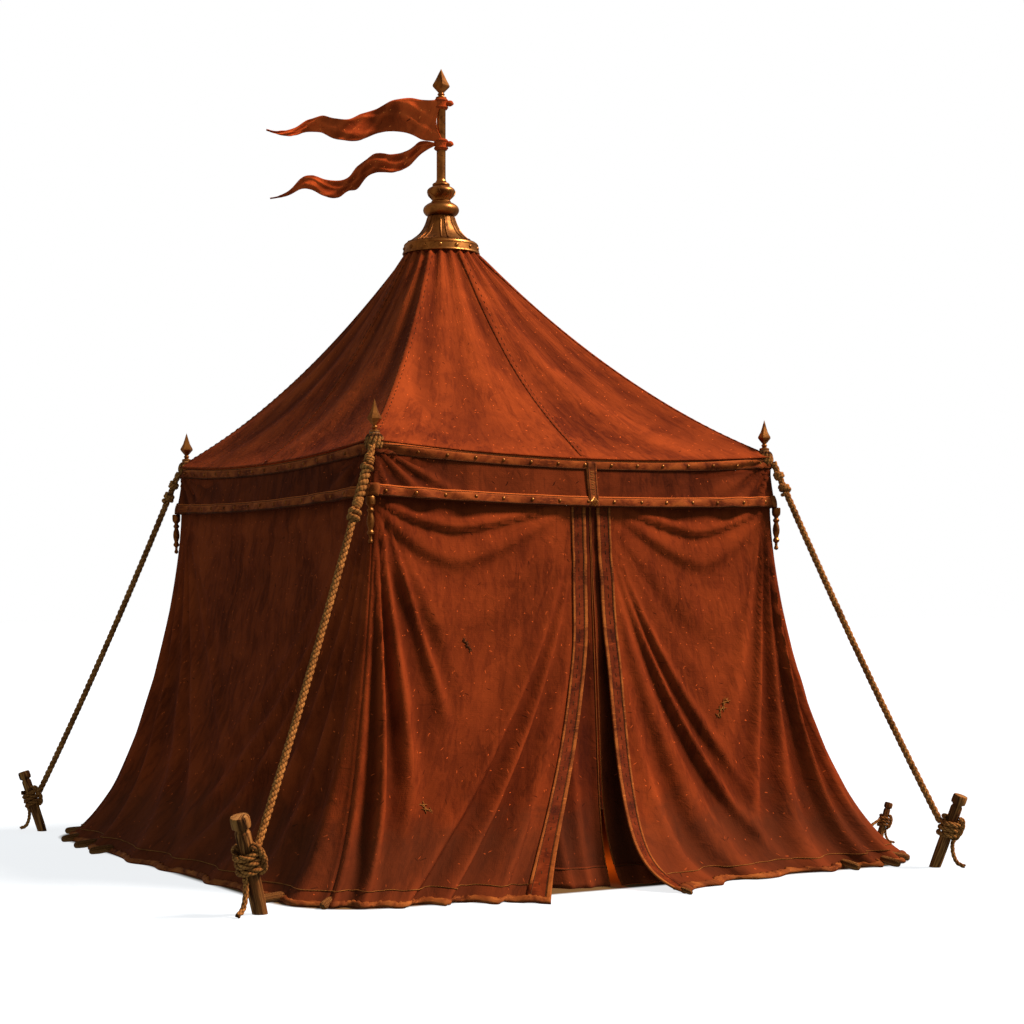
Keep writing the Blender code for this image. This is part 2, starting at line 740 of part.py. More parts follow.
def build_mast(wood, bronze):
    pole = [(0, 0), (MAST_RADIUS, 0), (MAST_RADIUS, SKIRT_TOP), (0, SKIRT_TOP)]
    new_object("mast_pole", turned(pole, 16), wood)
    low = ROOF_TOP + GAP
    band = [(0.205, low), (0.246, low), (0.247, low + 0.012), (0.232, BAND_TOP), (0.200, BAND_TOP)]
    new_object("crown_band", turned(band, 28, close=True), bronze)
    socket = MAST_RADIUS + 0.0008
    foot = BAND_TOP + GAP
    skirt = [
        (0.222, foot), (0.185, foot + 0.020), (0.140, foot + 0.060), (0.105, foot + 0.115),
        (0.082, SKIRT_TOP), (socket, SKIRT_TOP), (socket, SKIRT_TOP - 0.060),
        (0.075, SKIRT_TOP - 0.080), (0.120, foot + 0.050), (0.202, foot),
    ]
    new_object("crown_skirt", turned(skirt, 28, close=True), bronze)
    ring_foot = SKIRT_TOP + GAP
    ring = [
        (0, ring_foot), (0.078, ring_foot), (0.100, ring_foot + 0.012), (0.1155, ring_foot + 0.040),
        (0.108, ring_foot + 0.062), (0.070, RING_TOP), (0, RING_TOP),
    ]
    new_object("crown_ring", turned(ring, 24), bronze)
    bulb_foot = RING_TOP + GAP
    bulb = [
        (0, bulb_foot), (0.062, bulb_foot), (0.060, bulb_foot + 0.018), (0.086, bulb_foot + 0.050),
        (0.090, bulb_foot + 0.070), (0.076, bulb_foot + 0.095), (0.050, bulb_foot + 0.108),
        (0.052, BALUSTER_TOP - 0.008), (0.040, BALUSTER_TOP), (0, BALUSTER_TOP),
    ]
    new_object("crown_baluster", turned(bulb, 24), bronze)
    tube_foot = BALUSTER_TOP + GAP
    stem = [(0, tube_foot), (TUBE_RADIUS, tube_foot), (TUBE_RADIUS, TUBE_TOP), (0, TUBE_TOP)]
    new_object("mast_tube", turned(stem, 16), bronze)
    tip_foot = TUBE_TOP + GAP
    spear = [
        (0, tip_foot), (0.034, tip_foot), (0.034, tip_foot + 0.010), (0.018, tip_foot + 0.016),
        (0.023, tip_foot + 0.028), (0.018, tip_foot + 0.040), (0.052, tip_foot + 0.076),
        (0.0546, tip_foot + 0.086), (0.026, tip_foot + 0.140), (0, TIP),
    ]
    new_object("mast_finial", turned(spear, 12), bronze)


def build_ties(cloth):
    for name, height in (("top", TIE_TOP), ("bottom", TIE_BOTTOM)):
        inner = TUBE_RADIUS + 0.0006
        profile = [
            (inner, height - TIE_HALF), (TIE_RADIUS - 0.006, height - TIE_HALF),
            (TIE_RADIUS, height - TIE_HALF * 0.4), (TIE_RADIUS, height + TIE_HALF * 0.4),
            (TIE_RADIUS - 0.006, height + TIE_HALF), (inner, height + TIE_HALF),
        ]
        new_object("pennant_tie_" + name, turned(profile, 16, close=True), cloth)


def pennant_spot(along, z, ripple):
    """Place on the pennant: along it from the mast, its height, and its ripple sideways."""
    flow = Vector((math.cos(PENNANT_DIRECTION), math.sin(PENNANT_DIRECTION), 0))
    across = Vector((-flow.y, flow.x, 0))
    wave = ripple * math.sin((along - PENNANT_ROOT) * PENNANT_WAVES)
    return flow * along + across * wave + Vector((0, 0, z))


def build_pennant(cloth):
    """A swallow-tailed pennant: a short body by the mast that forks into two tails."""
    bm = bmesh.new()
    rows = {"top": [], "low": [], "under": [], "foot": []}
    for i, (first, second) in enumerate(zip(UPPER_TAIL, LOWER_TAIL)):
        bow = PENNANT_BOW if i == 0 else 0.0
        ripple = 0.012 + 0.030 * first[0]
        rows["top"].append(bm.verts.new(pennant_spot(first[0], first[1], ripple)))
        rows["low"].append(bm.verts.new(pennant_spot(first[0] + bow, first[2], ripple)))
        if i < PENNANT_SHARED:
            rows["under"].append(rows["low"][-1])
        else:
            rows["under"].append(bm.verts.new(pennant_spot(second[0], second[1], -ripple)))
        side = ripple if i < PENNANT_SHARED else -ripple
        rows["foot"].append(bm.verts.new(pennant_spot(second[0], second[2], side)))
    for high, low in (("top", "low"), ("under", "foot")):
        for i in range(len(UPPER_TAIL) - 1):
            bm.faces.new((rows[high][i], rows[high][i + 1], rows[low][i + 1], rows[low][i]))
    mesh = bpy.data.meshes.new("pennant")
    bm.to_mesh(mesh)
    bm.free()
    own = cloth.copy()
    own.name = "pennant"
    mesh.materials.append(own)
    item = bpy.data.objects.new("pennant", mesh)
    bpy.context.scene.collection.objects.link(item)
    thick = item.modifiers.new("thickness", "SOLIDIFY")
    thick.thickness = CLOTH
    thick.offset = 0.0


def make_lashing_cutter(name, signs, rope):
    """A slightly larger drum in place of a lashing, to cut the cloth round it."""
    low, high = LASHING_BOTTOM - GAP, LASHING_TOP + GAP
    radius = LASHING_RADIUS + GAP
    drum = [(0, low), (radius, low), (radius, high), (0, high)]
    place = Matrix.Translation(post_axis(signs))
    return make_cutter(new_object("lashing_drum_" + name, turned(drum, 32, place=place), rope))


def main():
    clear_scene()
    canvas = make_material("canvas", (0.23, 0.045, 0.014), 0.85)
    lining = make_material("lining", (0.10, 0.020, 0.008), 0.90)
    bronze = make_material("bronze", (0.45, 0.24, 0.075), 0.35, 1.0)
    wood = make_material("wood", (0.16, 0.07, 0.025), 0.70)
    rope = make_material("rope", (0.30, 0.16, 0.05), 0.90)
    build_mast(wood, bronze)
    build_ties(canvas)
    build_pennant(canvas)
    drums = {name: make_lashing_cutter(name, spec[0], rope) for name, spec in CORNERS.items()}
    for side in SIDES:
        near = [drums[name] for name in CORNERS if name.startswith(side) or name.endswith(side)]
        build_roof(side, near, canvas)
        build_valance(side, near, canvas)
    for side in ("left", "back", "right"):
        build_wall(side, canvas)
    build_flap("door_flap_left", -1, left_flap_edge, canvas)
    build_flap("door_flap_right", 1, right_flap_edge, canvas)
    build_curtain("door_curtain_left", -1, CURTAIN_LEFT, lining)
    build_curtain("door_curtain_right", 1, CURTAIN_RIGHT, lining)
    for name, (signs, foot, scale) in CORNERS.items():
        build_corner(name, signs, wood, bronze)
        build_drop(name, signs, bronze)
        corner = post_axis(signs)
        frame, axis, outward = peg_frame(foot, (foot[0] - corner.x, foot[1] - corner.y))
        build_peg(name, frame, axis, scale, wood)
        build_guy(name, signs, frame, axis, scale, rope)
        build_tail(name, frame, axis, outward, scale, rope)
    build_side_peg(wood, rope)


main()
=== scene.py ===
# %% [markdown]
# # A campaign tent, dressed piece by piece
#
# The real tent is heavy red canvas on a mast and four corner posts. Its roof is four gores
# that a bronze crown clamps, its walls hang behind a valance and spread out to the ground,
# and four guy ropes hold the corners. The construction is already built as plain solids.
# This lesson lays the real surfaces over them: folds, seams, leather, twisted rope, bronze
# and split wood. Every size is in metres and every piece is made where it belongs.

# %% Load the built tent as a fixed frame
import json
import math

import bmesh
import bpy
from mathutils import Matrix, Vector, noise
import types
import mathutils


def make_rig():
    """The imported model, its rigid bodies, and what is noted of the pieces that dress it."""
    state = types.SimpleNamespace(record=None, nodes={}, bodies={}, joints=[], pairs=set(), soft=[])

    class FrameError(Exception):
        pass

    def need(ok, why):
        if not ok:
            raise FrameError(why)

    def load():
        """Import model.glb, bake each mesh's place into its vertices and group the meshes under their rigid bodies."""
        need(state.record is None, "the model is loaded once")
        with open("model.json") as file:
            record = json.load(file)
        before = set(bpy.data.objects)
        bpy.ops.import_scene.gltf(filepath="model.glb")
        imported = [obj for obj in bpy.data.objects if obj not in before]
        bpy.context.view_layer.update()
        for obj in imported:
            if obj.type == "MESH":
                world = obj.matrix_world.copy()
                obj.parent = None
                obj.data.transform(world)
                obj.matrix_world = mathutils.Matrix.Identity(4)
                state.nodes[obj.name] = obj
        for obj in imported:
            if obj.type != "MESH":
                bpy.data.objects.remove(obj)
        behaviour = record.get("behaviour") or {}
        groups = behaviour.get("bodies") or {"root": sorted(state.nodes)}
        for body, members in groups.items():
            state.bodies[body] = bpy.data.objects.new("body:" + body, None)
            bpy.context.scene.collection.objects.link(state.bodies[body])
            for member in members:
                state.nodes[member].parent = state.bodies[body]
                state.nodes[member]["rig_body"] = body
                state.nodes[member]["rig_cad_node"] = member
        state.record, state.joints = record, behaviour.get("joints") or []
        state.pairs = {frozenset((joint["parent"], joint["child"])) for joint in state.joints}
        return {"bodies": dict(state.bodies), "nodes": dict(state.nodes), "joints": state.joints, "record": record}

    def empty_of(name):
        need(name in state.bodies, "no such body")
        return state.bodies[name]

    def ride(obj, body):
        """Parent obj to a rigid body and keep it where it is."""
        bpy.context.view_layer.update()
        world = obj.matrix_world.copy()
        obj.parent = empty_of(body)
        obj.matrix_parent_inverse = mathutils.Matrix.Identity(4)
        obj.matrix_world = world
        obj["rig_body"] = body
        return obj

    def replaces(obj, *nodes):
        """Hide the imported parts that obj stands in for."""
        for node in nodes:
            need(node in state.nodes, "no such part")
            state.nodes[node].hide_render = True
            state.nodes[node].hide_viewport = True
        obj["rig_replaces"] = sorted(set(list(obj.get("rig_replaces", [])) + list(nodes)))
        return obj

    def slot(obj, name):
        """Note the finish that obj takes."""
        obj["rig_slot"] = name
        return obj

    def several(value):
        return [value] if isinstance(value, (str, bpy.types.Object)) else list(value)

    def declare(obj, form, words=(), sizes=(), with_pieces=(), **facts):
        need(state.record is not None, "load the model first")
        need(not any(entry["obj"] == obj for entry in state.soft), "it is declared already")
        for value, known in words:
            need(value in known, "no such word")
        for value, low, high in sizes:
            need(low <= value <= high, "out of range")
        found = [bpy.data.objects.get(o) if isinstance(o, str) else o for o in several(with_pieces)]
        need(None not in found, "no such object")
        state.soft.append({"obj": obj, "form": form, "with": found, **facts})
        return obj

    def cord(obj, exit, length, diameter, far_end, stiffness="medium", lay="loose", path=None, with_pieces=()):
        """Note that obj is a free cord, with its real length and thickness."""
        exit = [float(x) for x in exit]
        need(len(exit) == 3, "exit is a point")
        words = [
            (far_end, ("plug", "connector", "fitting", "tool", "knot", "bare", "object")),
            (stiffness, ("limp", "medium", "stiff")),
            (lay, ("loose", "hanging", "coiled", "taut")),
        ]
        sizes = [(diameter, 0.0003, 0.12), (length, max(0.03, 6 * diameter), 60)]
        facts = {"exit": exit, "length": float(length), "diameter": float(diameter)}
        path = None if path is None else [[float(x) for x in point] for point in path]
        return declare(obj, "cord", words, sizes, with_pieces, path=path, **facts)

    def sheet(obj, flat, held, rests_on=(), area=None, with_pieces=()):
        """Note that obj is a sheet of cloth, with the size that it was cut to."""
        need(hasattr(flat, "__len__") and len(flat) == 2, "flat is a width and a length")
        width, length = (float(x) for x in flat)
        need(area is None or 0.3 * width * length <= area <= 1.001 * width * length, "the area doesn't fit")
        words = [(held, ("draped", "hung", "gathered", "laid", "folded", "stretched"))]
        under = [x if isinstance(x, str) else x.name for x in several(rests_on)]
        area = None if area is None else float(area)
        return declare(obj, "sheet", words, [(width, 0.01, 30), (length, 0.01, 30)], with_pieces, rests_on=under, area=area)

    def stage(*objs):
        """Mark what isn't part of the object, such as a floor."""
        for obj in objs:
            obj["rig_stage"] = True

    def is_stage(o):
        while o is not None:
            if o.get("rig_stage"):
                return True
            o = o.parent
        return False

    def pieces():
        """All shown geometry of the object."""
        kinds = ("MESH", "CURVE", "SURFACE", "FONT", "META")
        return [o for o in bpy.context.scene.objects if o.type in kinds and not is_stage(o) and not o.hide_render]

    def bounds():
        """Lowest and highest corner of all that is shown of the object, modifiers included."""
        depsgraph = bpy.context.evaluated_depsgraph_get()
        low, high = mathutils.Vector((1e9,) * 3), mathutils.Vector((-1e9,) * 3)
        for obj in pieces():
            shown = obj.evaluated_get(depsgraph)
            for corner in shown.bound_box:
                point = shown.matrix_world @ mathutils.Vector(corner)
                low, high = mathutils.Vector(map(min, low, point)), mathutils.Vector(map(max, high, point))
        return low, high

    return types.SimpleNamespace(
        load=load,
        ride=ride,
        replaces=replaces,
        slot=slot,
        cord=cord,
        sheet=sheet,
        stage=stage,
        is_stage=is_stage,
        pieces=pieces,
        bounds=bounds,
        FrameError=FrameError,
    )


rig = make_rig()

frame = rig.load()
built_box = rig.bounds()
bpy.ops.object.select_all(action="DESELECT")
print("built nodes:", len(frame["nodes"]))

# %% [markdown]
# ## The camera
#
# The view is level, from the front left of the tent. A level camera keeps the posts and the
# mast upright in the picture, as the eye expects of a building. The lens is shifted instead
# of tilted, so the tent sits where it should in the frame.

# %% Stand the camera at eye height
CENTRE = Vector((0.130, -0.075, 0.0))
VIEW_TURN = math.radians(-30.0)
VIEW_BACK = Vector((math.sin(VIEW_TURN), -math.cos(VIEW_TURN), 0.0))
VIEW_RIGHT = Vector((math.cos(VIEW_TURN), math.sin(VIEW_TURN), 0.0))
VIEW_AWAY = 13.13
EYE_HEIGHT = 1.58
FRAME_WIDTH = 1024
FOCAL = 2046.0
SENSOR = 36.0
MIDDLE_COLUMN = 464.5
HORIZON_ROW = 600.0
eye = CENTRE + VIEW_BACK * VIEW_AWAY + Vector((0, 0, EYE_HEIGHT))

bpy.ops.object.camera_add(location=eye, rotation=(math.radians(90), 0, VIEW_TURN))
camera = bpy.context.object
camera.data.sensor_width = SENSOR
camera.data.lens = FOCAL * SENSOR / FRAME_WIDTH
camera.data.shift_x = 0.5 - MIDDLE_COLUMN / FRAME_WIDTH
camera.data.shift_y = HORIZON_ROW / FRAME_WIDTH - 0.5
bpy.context.scene.camera = camera
print("lens %.1f mm, shift %.3f %.3f" % (camera.data.lens, camera.data.shift_x, camera.data.shift_y))

# %% [markdown]
# ## Finishes, and how a node tree is written down
#
# A finish is a small tree of nodes that ends in one shader. A few helpers keep each tree
# short: they fill or link a socket, add a node, work out a sum, draw a ramp, mix two
# colours, and lay one tone after another over a colour.

# %% Helpers for node trees
def feed(tree, socket, value):
    """Give a socket a value, or a link from another node's output."""
    if isinstance(value, bpy.types.NodeSocket):
        tree.links.new(value, socket)
    elif socket.type == "RGBA":
        socket.default_value = (*value, 1.0)
    else:
        socket.default_value = value


def node(tree, kind, settings=None, **sockets):
    """Add a node; each named socket takes a value or a link."""
    made = tree.nodes.new("ShaderNode" + kind)
    for key, value in (settings or {}).items():
        setattr(made, key, value)
    for key, value in sockets.items():
        feed(tree, made.inputs[key.replace("_", " ")], value)
    return made


def worked(tree, kind, operation, *values):
    """The result of a Math or VectorMath node, whose inputs take values or links in order."""
    made = node(tree, kind, {"operation": operation})
    for socket, value in zip(made.inputs, values):
        feed(tree, socket, value)
    return made.outputs["Value" if operation == "LENGTH" else 0]


def ramp(tree, factor, *stops):
    """A colour ramp; each stop is a position and a colour of three numbers or one grey."""
    made = tree.nodes.new("ShaderNodeValToRGB")
    elements = made.color_ramp.elements
    while len(elements) < len(stops):
        elements.new(0.5)
    for element, (position, colour) in zip(elements, stops):
        element.position = position
        element.color = (*colour, 1.0) if isinstance(colour, tuple) else (colour, colour, colour, 1.0)
    tree.links.new(factor, made.inputs["Fac"])
    return made.outputs["Color"]


def mix(tree, factor, first, second):
    """Mix two colours; the factor and the colours are values or links."""
    made = node(tree, "Mix", {"data_type": "RGBA", "clamp_result": True})
    for socket, value in zip((made.inputs[0], made.inputs[6], made.inputs[7]), (factor, first, second)):
        feed(tree, socket, value)
    return made.outputs[2]


def layered(tree, colour, *layers):
    """Lay tones over a colour; a layer is a pattern, two stops of its ramp, and the tone."""
    for pattern, low, high, tone in layers:
        colour = mix(tree, ramp(tree, pattern, low, high), colour, tone)
    return colour


# %% [markdown]
# ## Patterns, and the shader
#
# Every finish starts as one shader with a roughness and a gloss. Soft noise gives clouds,
# and the same noise on squeezed coordinates gives streaks. Many patterns read the piece's own
# UV map, which the cloths, the swept tubes and the pegs lay out in metres, so a weave or a
# grain keeps its real size.
# At the end a colour and a height pattern are joined to the shader.

# %% Helpers for finishes
def new_finish(name, roughness, gloss=0.5, metallic=0.0):
    material = bpy.data.materials.new(name)
    material.use_nodes = True
    shader = material.node_tree.nodes["Principled BSDF"]
    shader.inputs["Roughness"].default_value = roughness
    shader.inputs["Specular IOR Level"].default_value = gloss
    shader.inputs["Metallic"].default_value = metallic
    return material, material.node_tree, shader


def patches(tree, vector, scale, detail, twist, rough=0.55):
    """Soft cloudy noise over a pattern's coordinates."""
    return node(tree, "TexNoise", Vector=vector, Scale=scale, Detail=detail,
                Distortion=twist, Roughness=rough).outputs["Fac"]


def stretched(tree, vector, scale, turn=0.0):
    """Coordinates squeezed and turned, so that a noise becomes streaks."""
    return node(tree, "Mapping", Vector=vector, Scale=scale, Rotation=(0, 0, turn)).outputs["Vector"]


def finish_surface(tree, shader, colour, height, strength, distance):
    bump = node(tree, "Bump", Height=height, Strength=strength, Distance=distance)
    feed(tree, shader.inputs["Base Color"], colour)
    feed(tree, shader.inputs["Normal"], bump.outputs["Normal"])


# %% [markdown]
# ## Pulled threads
#
# Canvas that was snagged shows pulled threads as short pale or dark dashes. There are too
# many to model or paint one by one, so a cell pattern scatters them. Each cell has a random
# point, slant and chance, and a dash is drawn round the point of every cell that is kept.

# %% Scattered dashes
DASH_WANDER = (14.0, 0.035)
DASH_SOFT = 0.35


def bent(tree, vector, scale, amount):
    """Coordinates that a noise pushes to and fro, so that straight edges wander."""
    bend = node(tree, "TexNoise", Vector=vector, Scale=scale, Detail=1.0).outputs["Color"]
    bend = node(tree, "VectorMath", {"operation": "SCALE"}, Vector=bend, Scale=amount).outputs["Vector"]
    return worked(tree, "VectorMath", "ADD", vector, bend)


def dashes(tree, vector, cells, half_long, half_wide, kept):
    """A mask of short dashes at random places and slants, about one to a kept cell of a pattern."""
    wander = bent(tree, vector, *DASH_WANDER)
    cell = node(tree, "TexVoronoi", {"voronoi_dimensions": "2D"}, Vector=wander, Scale=cells)
    chance = node(tree, "SeparateColor", Color=cell.outputs["Color"])
    offset = worked(tree, "VectorMath", "SUBTRACT", wander, cell.outputs["Position"])
    slant = worked(tree, "Math", "MULTIPLY", chance.outputs["Red"], math.pi)
    turned_back = node(tree, "VectorRotate", {"rotation_type": "Z_AXIS"}, Vector=offset, Angle=slant)
    shares = (1 / half_long, 1 / half_wide, 0.0)
    squeezed = worked(tree, "VectorMath", "MULTIPLY", turned_back.outputs[0], shares)
    inside = ramp(tree, worked(tree, "VectorMath", "LENGTH", squeezed), (1.0 - DASH_SOFT, 1.0), (1.0, 0.0))
    chosen = ramp(tree, chance.outputs["Green"], (kept, 1.0), (kept + 0.01, 0.0))
    return worked(tree, "Math", "MULTIPLY", inside, chosen)


# %% [markdown]
# ## Canvas
#
# The cloth is dyed rust red and has stood in sun, smoke and rain. Its colour is built up in
# layers: broad clouds of paler and darker dye, painted light and shade on flat slanting
# planes as a stiff cloth creases into, strokes where the nap is rubbed, stains, painted shade
# in the hollows of the folds and a painted highlight on their crests, pulled threads, and
# soil along the hem. The folds are known when the cloth is hung, so each cloth carries them
# as an attribute called fold, and the finish reads it. A fine weave and a coarser crumple
# give the bump. The cloth is dull, so it gets hardly any gloss, which would grey its red.
# The roof has the same finish made paler, as painted light. The valance has a darker one,
# as painted shade, and the pennant a much lighter one, as painted light where the sun
# hardly reaches it.

# %% Canvas finish
WEAVE_SCALE = 26.0
SOIL = (0.060, 0.017, 0.006)


def scaled(colour, share):
    return tuple(c * share for c in colour)


def canvas_finish(name, bright, middle, dark, hem_dirt=True):
    material, tree, shader = new_finish(name, 0.92, 0.03)
    uv = node(tree, "UVMap").outputs["UV"]
    here = node(tree, "TexCoord").outputs["Object"]
    fold = node(tree, "Attribute", {"attribute_name": "fold"}).outputs["Fac"]

    clouds = patches(tree, here, 1.9, 6.0, 0.4)
    strokes = patches(tree, stretched(tree, uv, (15.0, 4.2, 1.0), 0.55), 1.0, 3.0, 0.9, 0.5)
    fine = patches(tree, stretched(tree, uv, (46.0, 13.0, 1.0), 0.45), 1.0, 4.0, 1.2, 0.7)
    stains = patches(tree, here, 3.1, 8.0, 1.6, 0.62)
    # Painted light and shade on random flat facets: some planes of the creased cloth are made lighter and others
    # darker, as if they faced the light or turned away from it.
    plane = bent(tree, stretched(tree, uv, (5.2, 2.4, 1.0), 0.55), 0.9, 0.7)
    planes = node(tree, "TexVoronoi", {"voronoi_dimensions": "2D"}, Vector=plane, Scale=1.0).outputs["Color"]
    lean = node(tree, "SeparateColor", Color=planes).outputs["Red"]
    colour = layered(
        tree, ramp(tree, clouds, (0.33, dark), (0.50, middle), (0.68, bright)),
        (lean, (0.55, 0.0), (1.0, 0.38), bright),
        (lean, (0.0, 0.42), (0.45, 0.0), dark),
        (strokes, (0.47, 0.0), (0.53, 0.30), bright),
        (strokes, (0.36, 0.36), (0.42, 0.0), dark),
        (fine, (0.42, 0.0), (0.66, 0.36), bright),
        (stains, (0.50, 0.0), (0.66, 0.36), dark),
        # Painted shade in the hollows of the folds, and a painted highlight on their crests.
        (fold, (0.10, 0.66), (0.50, 0.0), scaled(dark, 0.60)),
        (fold, (0.62, 0.0), (0.95, 0.50), scaled(bright, 1.15)),
    )
    for cells, half_long, half_wide, kept, tone in (
        (8.0, 0.013, 0.0028, 0.34, scaled(bright, 1.9)),
        (13.0, 0.0055, 0.0034, 0.20, scaled(bright, 2.4)),
        (6.0, 0.022, 0.0032, 0.24, scaled(dark, 0.60)),
    ):
        colour = mix(tree, dashes(tree, uv, cells, half_long, half_wide, kept), colour, tone)
    if hem_dirt:
        up = node(tree, "SeparateXYZ", Vector=here).outputs["Z"]
        ragged_up = worked(tree, "Math", "MULTIPLY_ADD", stains, -0.55, up)
        colour = layered(tree, colour, (ragged_up, (0.0, 0.40), (0.24, 0.0), SOIL))

    waves = []
    for axis in "XY":
        wave = node(tree, "TexWave", {"bands_direction": axis}, Vector=uv, Scale=WEAVE_SCALE, Distortion=0.6)
        waves.append(wave.outputs["Fac"])
    weave = worked(tree, "Math", "MAXIMUM", *waves)
    crumple = patches(tree, uv, 13.0, 6.0, 0.8, 0.6)
    height = worked(tree, "Math", "MULTIPLY_ADD", weave, 0.04, crumple)
    finish_surface(tree, shader, colour, height, 0.55, 0.012)
    return material


canvas = canvas_finish("canvas_rust", (0.270, 0.036, 0.006), (0.170, 0.021, 0.004), (0.088, 0.011, 0.002))
# A darker copy of the canvas: painted shade for the valance, whose flared face turns a little away from the sun.
painted_shade_canvas = canvas_finish(
    "canvas_smoked", (0.185, 0.026, 0.005), (0.112, 0.015, 0.003), (0.056, 0.008, 0.002)
)
# A paler copy of the canvas: painted light for the roof, which faces the sun.
painted_light_roof_canvas = canvas_finish(
    "canvas_bleached", (0.35, 0.048, 0.008), (0.215, 0.028, 0.005), (0.100, 0.012, 0.003)
)
lining = canvas_finish("lining_dark", (0.170, 0.022, 0.004), (0.095, 0.012, 0.003), (0.045, 0.006, 0.002))
# A much lighter copy of the canvas: painted light for the pennant, which the sun hardly reaches.
pennant_cloth = canvas_finish(
    "pennant_cloth", (0.80, 0.100, 0.016), (0.55, 0.066, 0.011), (0.28, 0.032, 0.006), hem_dirt=False
)
print("cloth finishes:", [material.name for material in bpy.data.materials])

# %% [markdown]
# ## Leather
#
# The trims are tooled leather: golden brown, darker in the pores and rubbed pale in places.
# A strap has a painted highlight along its upper edge and painted shade along its lower one,
# so the finish of a strap reads how far down its width a point lies. The leathers differ only
# in their tones, so one function makes them all.

# %% Leather finishes
STRAP_WIDE = 0.070


def leather_finish(name, pale, middle, dark, width=None):
    material, tree, shader = new_finish(name, 0.72, 0.025)
    uv = node(tree, "UVMap").outputs["UV"]
    clouds = patches(tree, uv, 9.0, 6.0, 0.8, 0.6)
    scuffs = patches(tree, stretched(tree, uv, (16.0, 70.0, 1.0), 0.2), 1.0, 4.0, 1.5)
    colour = layered(
        tree, ramp(tree, clouds, (0.34, dark), (0.50, middle), (0.68, pale)),
        (scuffs, (0.58, 0.0), (0.72, 0.75), scaled(pale, 1.45)),
        (scuffs, (0.30, 0.75), (0.40, 0.0), dark),
    )
    # Painted highlight along a strap's upper edge, where the sun catches it, and painted shade along its lower edge.
    if width:
        down = node(tree, "SeparateXYZ", Vector=bent(tree, uv, 22.0, width * 0.10)).outputs["Y"]
        colour = layered(
            tree, colour,
            (down, (width * 0.16, 0.85), (width * 0.34, 0.0), scaled(pale, 1.5)),
            (down, (width * 0.80, 0.0), (width, 0.85), scaled(dark, 0.6)),
        )
    grain = node(tree, "TexVoronoi", Vector=uv, Scale=170.0).outputs["Distance"]
    height = worked(tree, "Math", "MULTIPLY_ADD", grain, 0.12, clouds)
    finish_surface(tree, shader, colour, height, 0.5, 0.006)
    return material


leather = leather_finish(
    "trim_leather", (0.35, 0.065, 0.011), (0.205, 0.032, 0.006), (0.080, 0.012, 0.003), STRAP_WIDE
)
band_leather = leather_finish(
    "door_band_leather", (0.20, 0.027, 0.005), (0.125, 0.016, 0.003), (0.05, 0.007, 0.002)
)
gold_leather = leather_finish(
    "edge_leather", (0.38, 0.090, 0.015), (0.24, 0.050, 0.009), (0.10, 0.018, 0.004)
)
hem_leather = leather_finish("hem_leather", (0.34, 0.080, 0.015), (0.200, 0.039, 0.008), (0.07, 0.012, 0.003))
print("leather strap width:", STRAP_WIDE)

# %% [markdown]
# ## Bronze, wood, rope and thread
#
# Bronze is a metal with a brown patina that is polished off where hands and rain reach it.
# Wood has long streaks of grain, and rope has slanting yarns, so both read a UV map whose
# first direction runs along the piece. Rope also has painted shade between its strands, where
# little light comes. Thread is made as rope that has only one strand.

# %% Hard and fibrous finishes
YARN_SCALE = (6.25, 0.15, 1.0)


def bronze_finish(name, polished, patina, roughness):
    material, tree, shader = new_finish(name, roughness, metallic=1.0)
    here = node(tree, "TexCoord").outputs["Object"]
    clouds = patches(tree, here, 17.0, 6.0, 0.6)
    pits = patches(tree, here, 95.0, 3.0, 0.3)
    middle = tuple((p + q) / 2 for p, q in zip(polished, patina))
    colour = layered(
        tree, ramp(tree, clouds, (0.30, patina), (0.44, middle), (0.62, polished)),
        (pits, (0.28, 0.8), (0.38, 0.0), scaled(patina, 0.4)),
    )
    feed(tree, shader.inputs["Roughness"], ramp(tree, clouds, (0.30, roughness * 1.6), (0.62, roughness)))
    finish_surface(tree, shader, colour, pits, 0.16, 0.002)
    return material


def wood_finish(name, pale, middle, dark):
    material, tree, shader = new_finish(name, 0.72, 0.04)
    uv = node(tree, "UVMap").outputs["UV"]
    grain = patches(tree, stretched(tree, uv, (3.6, 60.0, 1.0)), 1.0, 7.0, 0.9, 0.62)
    splits = patches(tree, stretched(tree, uv, (2.2, 42.0, 1.0)), 1.0, 3.0, 0.3)
    colour = layered(
        tree, ramp(tree, grain, (0.38, dark), (0.50, middle), (0.60, pale)),
        (splits, (0.33, 1.0), (0.40, 0.0), scaled(dark, 0.25)),
    )
    finish_surface(tree, shader, colour, grain, 0.8, 0.006)
    return material


def rope_finish(name, pale, middle, dark, laid=False):
    material, tree, shader = new_finish(name, 0.88, 0.05)
    uv = node(tree, "UVMap").outputs["UV"]
    here = node(tree, "TexCoord").outputs["Object"]
    yarns = node(tree, "TexWave", {"bands_direction": "DIAGONAL"}, Vector=stretched(tree, uv, YARN_SCALE),
                 Scale=6.0, Distortion=1.2, Detail=2.0).outputs["Fac"]
    fibres = patches(tree, stretched(tree, uv, (30.0, 9.0, 1.0)), 1.0, 4.0, 0.8)
    grime = patches(tree, here, 11.0, 5.0, 0.5)
    colour = layered(
        tree, ramp(tree, fibres, (0.36, middle), (0.62, pale)),
        (yarns, (0.05, 0.62), (0.42, 0.0), dark),
        (grime, (0.38, 0.6), (0.56, 0.0), dark),
    )
    # Painted shade in the crevices between strands, where the fold attribute says a point lies far in.
    if laid:
        out = node(tree, "Attribute", {"attribute_name": "fold"}).outputs["Fac"]
        colour = layered(tree, colour, (out, (0.56, 0.92), (0.86, 0.0), scaled(dark, 0.45)))
    finish_surface(tree, shader, colour, yarns, 0.35, 0.003)
    return material


